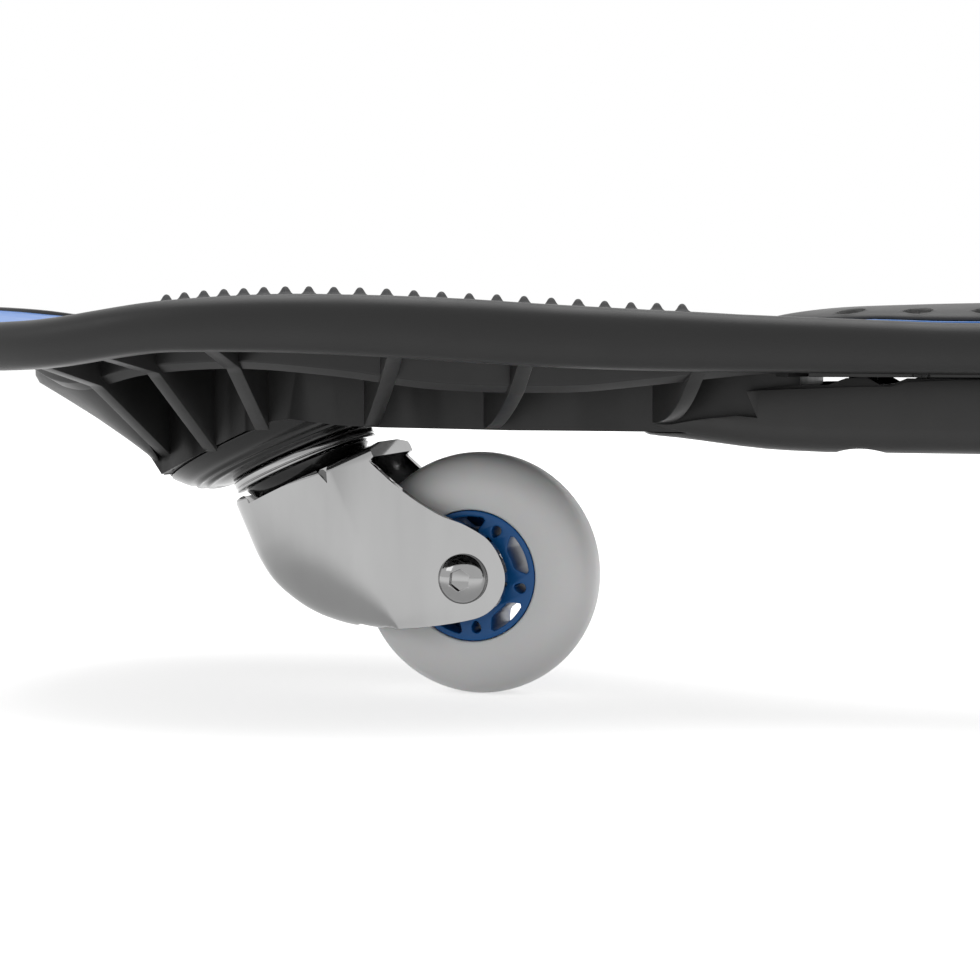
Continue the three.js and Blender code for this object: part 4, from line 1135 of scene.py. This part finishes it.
def fork(end):
    """Chromed fork: one drawn sheet with a round closed front, a flat top and two flat legs."""
    place = caster_place(end)

    def part(name, shape):
        return solid(name, shape, place, smooth=False)

    obj = part("fork", fork_shell(0, 0, 60, 70))
    outline = [(-30, 0), (28.3, 0), (28.3, -9.8)] + smooth_path(LEG_OUTLINE) + [(-30, -61.5)]
    kept_inside(obj, part("profile", side_prism(outline, 30)))
    opening = [(-30, -80), (FORK_FLAT_X, -80), (FORK_FLAT_X, NOSE_CUT_TOP), (-30, NOSE_CUT_TOP)]
    hole = lathe([(0, -30), (AXLE_HOLE, -30), (AXLE_HOLE, 30), (0, 30)], 32)
    race_room = [(0, FORK_TOP), (LIP_INNER_RADIUS, FORK_TOP), (LIP_INNER_RADIUS, 5), (0, 5)]
    notches = []
    for side in (-1, 1):
        shape = turned(side_prism(LEG_NOTCH, 4), Matrix.Translation((0, side * FORK_HALF_WIDTH, 0)))
        notches.append(part("notch", shape))
    cut_away(
        obj,
        part("inside", fork_shell(SHEET, 3.5 - FORK_TOP, 75, 71)),
        part("opening", side_prism(opening, NOSE_CUT)),
        part("hole", turned(hole, AXLE_PLACE)),
        part("race room", lathe(race_room, 96)),
        *notches,
    )
    weld(obj.data, flat=0.3)
    with_edges(obj, 0.25, 3, 32)
    smooth_by_angle(obj, 11)
    return finish_piece(obj, f"{end}_fork", "chrome", f"{end}_fork")


def axle_place(end):
    return caster_place(end) @ AXLE_PLACE


def axle_piece(name, profile, end, segments=72):
    return smooth_by_angle(solid(name, lathe(profile, segments), axle_place(end)), 32)


def axle_bolt(end):
    """Domed chrome bolt head with a hexagon socket, on the side away from the nut."""
    face = FORK_HALF_WIDTH + GAP
    head, shank = 7.7, 3.9
    dome = [(head * math.sin(a), face + 0.5 + 4.0 * math.cos(a)) for a in steps(0.0, QUARTER, 14)]
    profile = dome + [(head, face), (shank, face), (shank, -face - 5), (0, -face - 5)]
    obj = axle_piece("bolt", profile, end)
    hexagon = lathe([(0, face + 1.6), (3.5, face + 1.6), (3.5, face + 9), (0, face + 9)], 6)
    cut_away(obj, solid("socket", hexagon, axle_place(end), smooth=False))
    obj.name = f"{end}_axle_bolt_dome"
    with_edges(obj, 0.12, 2, 40)
    smooth_by_angle(obj, 28)
    return finish_piece(obj, f"{end}_fork", "chrome", f"{end}_axle_bolt")


def hexagon_nut(name, place, radius, bore, low, high):
    shape = lathe([(bore, low), (radius, low), (radius, high), (bore, high)], 6)
    obj = solid(name, shape, place, smooth=False)
    with_edges(obj, 0.5, 2, 40)
    return smooth_by_angle(obj, 30)


def tyre(end):
    half, r = WHEEL_HALF_WIDTH, HUB_RADIUS
    side = [(r, half - 0.3), (r + 0.4, half), (25.5, half)]
    for a in steps(0, QUARTER, 16):
        side.append((26 + (WHEEL_RADIUS - 26) * math.sin(a) ** 0.92, half * math.cos(a) ** 0.78))
    profile = side + [(radius, -z) for radius, z in reversed(side[:-1])]
    obj = axle_piece(f"{end}_tyre_cast", profile, end, 160)
    return finish_piece(obj, f"{end}_wheel", "urethane", f"{end}_tyre")


def hub(end):
    """Deep blue hub: large windows, small ovals between them, and a bearing seat in its middle."""
    curve = bpy.data.curves.new("hub face", "CURVE")
    curve.dimensions = "2D"
    curve.fill_mode = "BOTH"
    curve.extrude = (WHEEL_HALF_WIDTH - 0.6) * MM
    curve.bevel_depth = 0.35 * MM
    curve.bevel_resolution = 2
    curve.offset = -0.35 * MM

    def ring(points):
        spline = curve.splines.new("POLY")
        spline.points.add(len(points) - 1)
        for point, (x, y) in zip(spline.points, points):
            point.co = (x * MM, y * MM, 0, 1)
        spline.use_cyclic_u = True

    def polar(radius, degrees):
        a = math.radians(degrees)
        return radius * math.cos(a), radius * math.sin(a)

    ring([polar(HUB_RADIUS - GAP, 5 * i) for i in range(72)])
    ring([polar(BEARING_RADIUS + GAP, 10 * i) for i in range(36)])
    for i in range(5):
        middle = 72 * i
        fan = [polar(13.9 + 0.2 * abs(a) / 13, middle + a) for a in steps(-11, 11, 8)]
        fan += [polar(14.6, middle + 14.5), polar(16.4, middle + 18.6), polar(17.8, middle + 20.4)]
        fan += [polar(18.5, middle + a) for a in steps(18, -18, 12)]
        fan += [polar(17.8, middle - 20.4), polar(16.4, middle - 18.6), polar(14.6, middle - 14.5)]
        ring(fan)
        oval = []
        for a in steps(0, 4 * QUARTER, 20)[:-1]:
            radius = 16 + 1.9 * math.cos(a)
            oval.append(polar(radius, middle + 36 + 5.2 * math.sin(a) * (1 + 0.2 * math.cos(a))))
        ring(oval)
    source = new_object("hub face", curve)
    mesh = evaluated_mesh(source)
    bpy.data.objects.remove(source)
    mesh.transform(in_metres(axle_place(end)))
    weld(mesh)
    seat, half = BEARING_RADIUS + 0.6, 4.7
    web = solid("web", lathe([(8, -half), (seat, -half), (seat, half), (8, half)], 48), axle_place(end))
    pieces = [smooth_by_angle(obj, 30) for obj in (new_object("hub face", mesh), web)]
    obj = joined(f"{end}_hub_moulding", pieces)
    return finish_piece(obj, f"{end}_wheel", "hub_plastic", f"{end}_hub")


def bearings(end):
    for hand, side in (("left", 1), ("right", -1)):
        near, far = WHEEL_HALF_WIDTH - 7, WHEEL_HALF_WIDTH
        outer = [
            (9.2, near), (BEARING_RADIUS, near), (BEARING_RADIUS, far - 0.4),
            (BEARING_RADIUS - 0.4, far), (9.6, far), (9.3, far - 0.3), (9.2, far - 0.7),
            (6.6, far - 0.7), (6.4, far - 0.2), (6.2, far), (4.5, far), (AXLE_HOLE, far - 0.3),
            (AXLE_HOLE, near),
        ]
        profile = [(r, side * z) for r, z in outer]
        obj = axle_piece(f"{end}_bearing_{hand}_shielded", profile, end)
        finish_piece(obj, f"{end}_wheel", "steel", f"{end}_bearing_{hand}")


def kingpin(end):
    place = caster_place(end)
    nut = hexagon_nut("nut", place, 9, RACE_BORE, -17.5, -10.1)
    obj = finish_piece(nut, f"{end}_deck", "steel", f"{end}_kingpin_nut")
    obj.name = f"{end}_kingpin_nut_hexagon"


def axle_nut(end):
    face = FORK_HALF_WIDTH + GAP
    nut = hexagon_nut("nut", axle_place(end), 7.6, AXLE_HOLE, -face - 5.7, -face)
    obj = finish_piece(nut, f"{end}_fork", "steel", f"{end}_axle_nut")
    obj.name = f"{end}_axle_nut_hexagon"


for end, sign in (("front", -1), ("rear", 1)):
    frame_moulding(end, sign)
    top_panel(end, sign)
    grip_pad(end, sign)
    neck_cover(end, sign)
    torsion_housing(end, sign)
    housing_screws(end, sign)
    seat_cup(end)
    swivel_ring(end)
    lower_race(end)
    fork(end)
    axle_bolt(end)
    axle_nut(end)
    kingpin(end)
    tyre(end)
    hub(end)
    bearings(end)

slots = {part["node"]: part["material_slot"] for part in frame["record"]["subparts"]}
# The torsion bar clamps get the glossy black in place of their slot's finish: painted shade for the
# dark inside of the neck seen through the slit
for name, obj in frame["nodes"].items():
    for slot in obj.material_slots:
        slot.material = BLACK_LACQUER_AND_PAINTED_SHADE if name.endswith("bar_clamp") else FINISH[slots[name]]


# Studio

def studio_floor():
    mesh = bpy.data.meshes.new("floor")
    x, near, far = 14, -14, 40
    mesh.from_pydata([(-x, near, 0), (x, near, 0), (x, far, 0), (-x, far, 0)], [], [(0, 1, 2, 3)])
    floor = new_object("floor", mesh)
    paper = Shader("floor paper")
    mottle = paper.noise(6, 3.0, 0.5)
    paper.set(
        Base_Color=paper.mix(mottle, grey(0.87), grey(0.89)), Roughness=0.9, Specular_IOR_Level=0.0,
    )
    path = paper.tree.nodes.new("ShaderNodeLightPath")
    camera, glossy, through = (
        Socket(paper, path.outputs[f"Is {ray} Ray"]) for ray in ("Camera", "Glossy", "Transmission")
    )
    seen = camera * FLOOR_LIFT + (glossy + through).clipped() * FLOOR_LIFT_IN_METAL
    paper.set(Emission_Strength=1.0, Emission_Color=paper.mix(seen, grey(0), grey(1)))
    floor.data.materials.append(paper.material)


def studio_world():
    world = bpy.data.worlds.new("studio")
    bpy.context.scene.world = world
    world.use_nodes = True
    tree = world.node_tree
    tree.nodes.clear()
    add, link = tree.nodes.new, tree.links.new
    light, seen = add("ShaderNodeBackground"), add("ShaderNodeBackground")
    mix, path = add("ShaderNodeMixShader"), add("ShaderNodeLightPath")
    out = add("ShaderNodeOutputWorld")
    for background, strength in ((light, SKY_LIGHT), (seen, 1.0)):
        background.inputs["Color"].default_value = grey(1)
        background.inputs["Strength"].default_value = strength
    total = path.outputs["Is Camera Ray"]
    for ray in ("Is Glossy Ray", "Is Transmission Ray"):
        either = add("ShaderNodeMath")
        either.operation = "MAXIMUM"
        link(total, either.inputs[0])
        link(path.outputs[ray], either.inputs[1])
        total = either.outputs[0]
    link(total, mix.inputs["Fac"])
    link(light.outputs["Background"], mix.inputs[1])
    link(seen.outputs["Background"], mix.inputs[2])
    link(mix.outputs["Shader"], out.inputs["Surface"])


def soft_lamp(name, place, target, size, power):
    lamp = bpy.data.lights.new(name, "AREA")
    lamp.shape = "RECTANGLE"
    lamp.size, lamp.size_y = size
    lamp.energy = power
    obj = bpy.data.objects.new(name, lamp)
    bpy.context.scene.collection.objects.link(obj)
    obj.location = place
    aim = Vector(target) - Vector(place)
    obj.rotation_euler = aim.to_track_quat("-Z", "Y").to_euler()


# Glow of the floor for the camera and in mirror-like surfaces: it lights nothing
FLOOR_LIFT = 0.62
FLOOR_LIFT_IN_METAL = 0.5
SKY_LIGHT = 0.52
studio_floor()
studio_world()
soft_lamp("overhead", (-0.2, 0.5, 3.2), (-0.2, 0, 0.1), (3.2, 3.2), 75)
soft_lamp("left front", (-2.4, -1.8, 1.4), (-0.25, 0, 0.1), (1.2, 1.2), 6)

camera = bpy.data.cameras.new("camera")
camera.sensor_width = 36
camera.lens = 81.5
camera.clip_start = 0.01
eye = bpy.data.objects.new("camera", camera)
bpy.context.scene.collection.objects.link(eye)
eye.location = (-0.05927, -0.67087, 0.1113)
eye.rotation_euler = (math.radians(86.11), 0, math.radians(15.4))
bpy.context.scene.camera = eye
bpy.context.scene.view_settings.view_transform = "Standard"
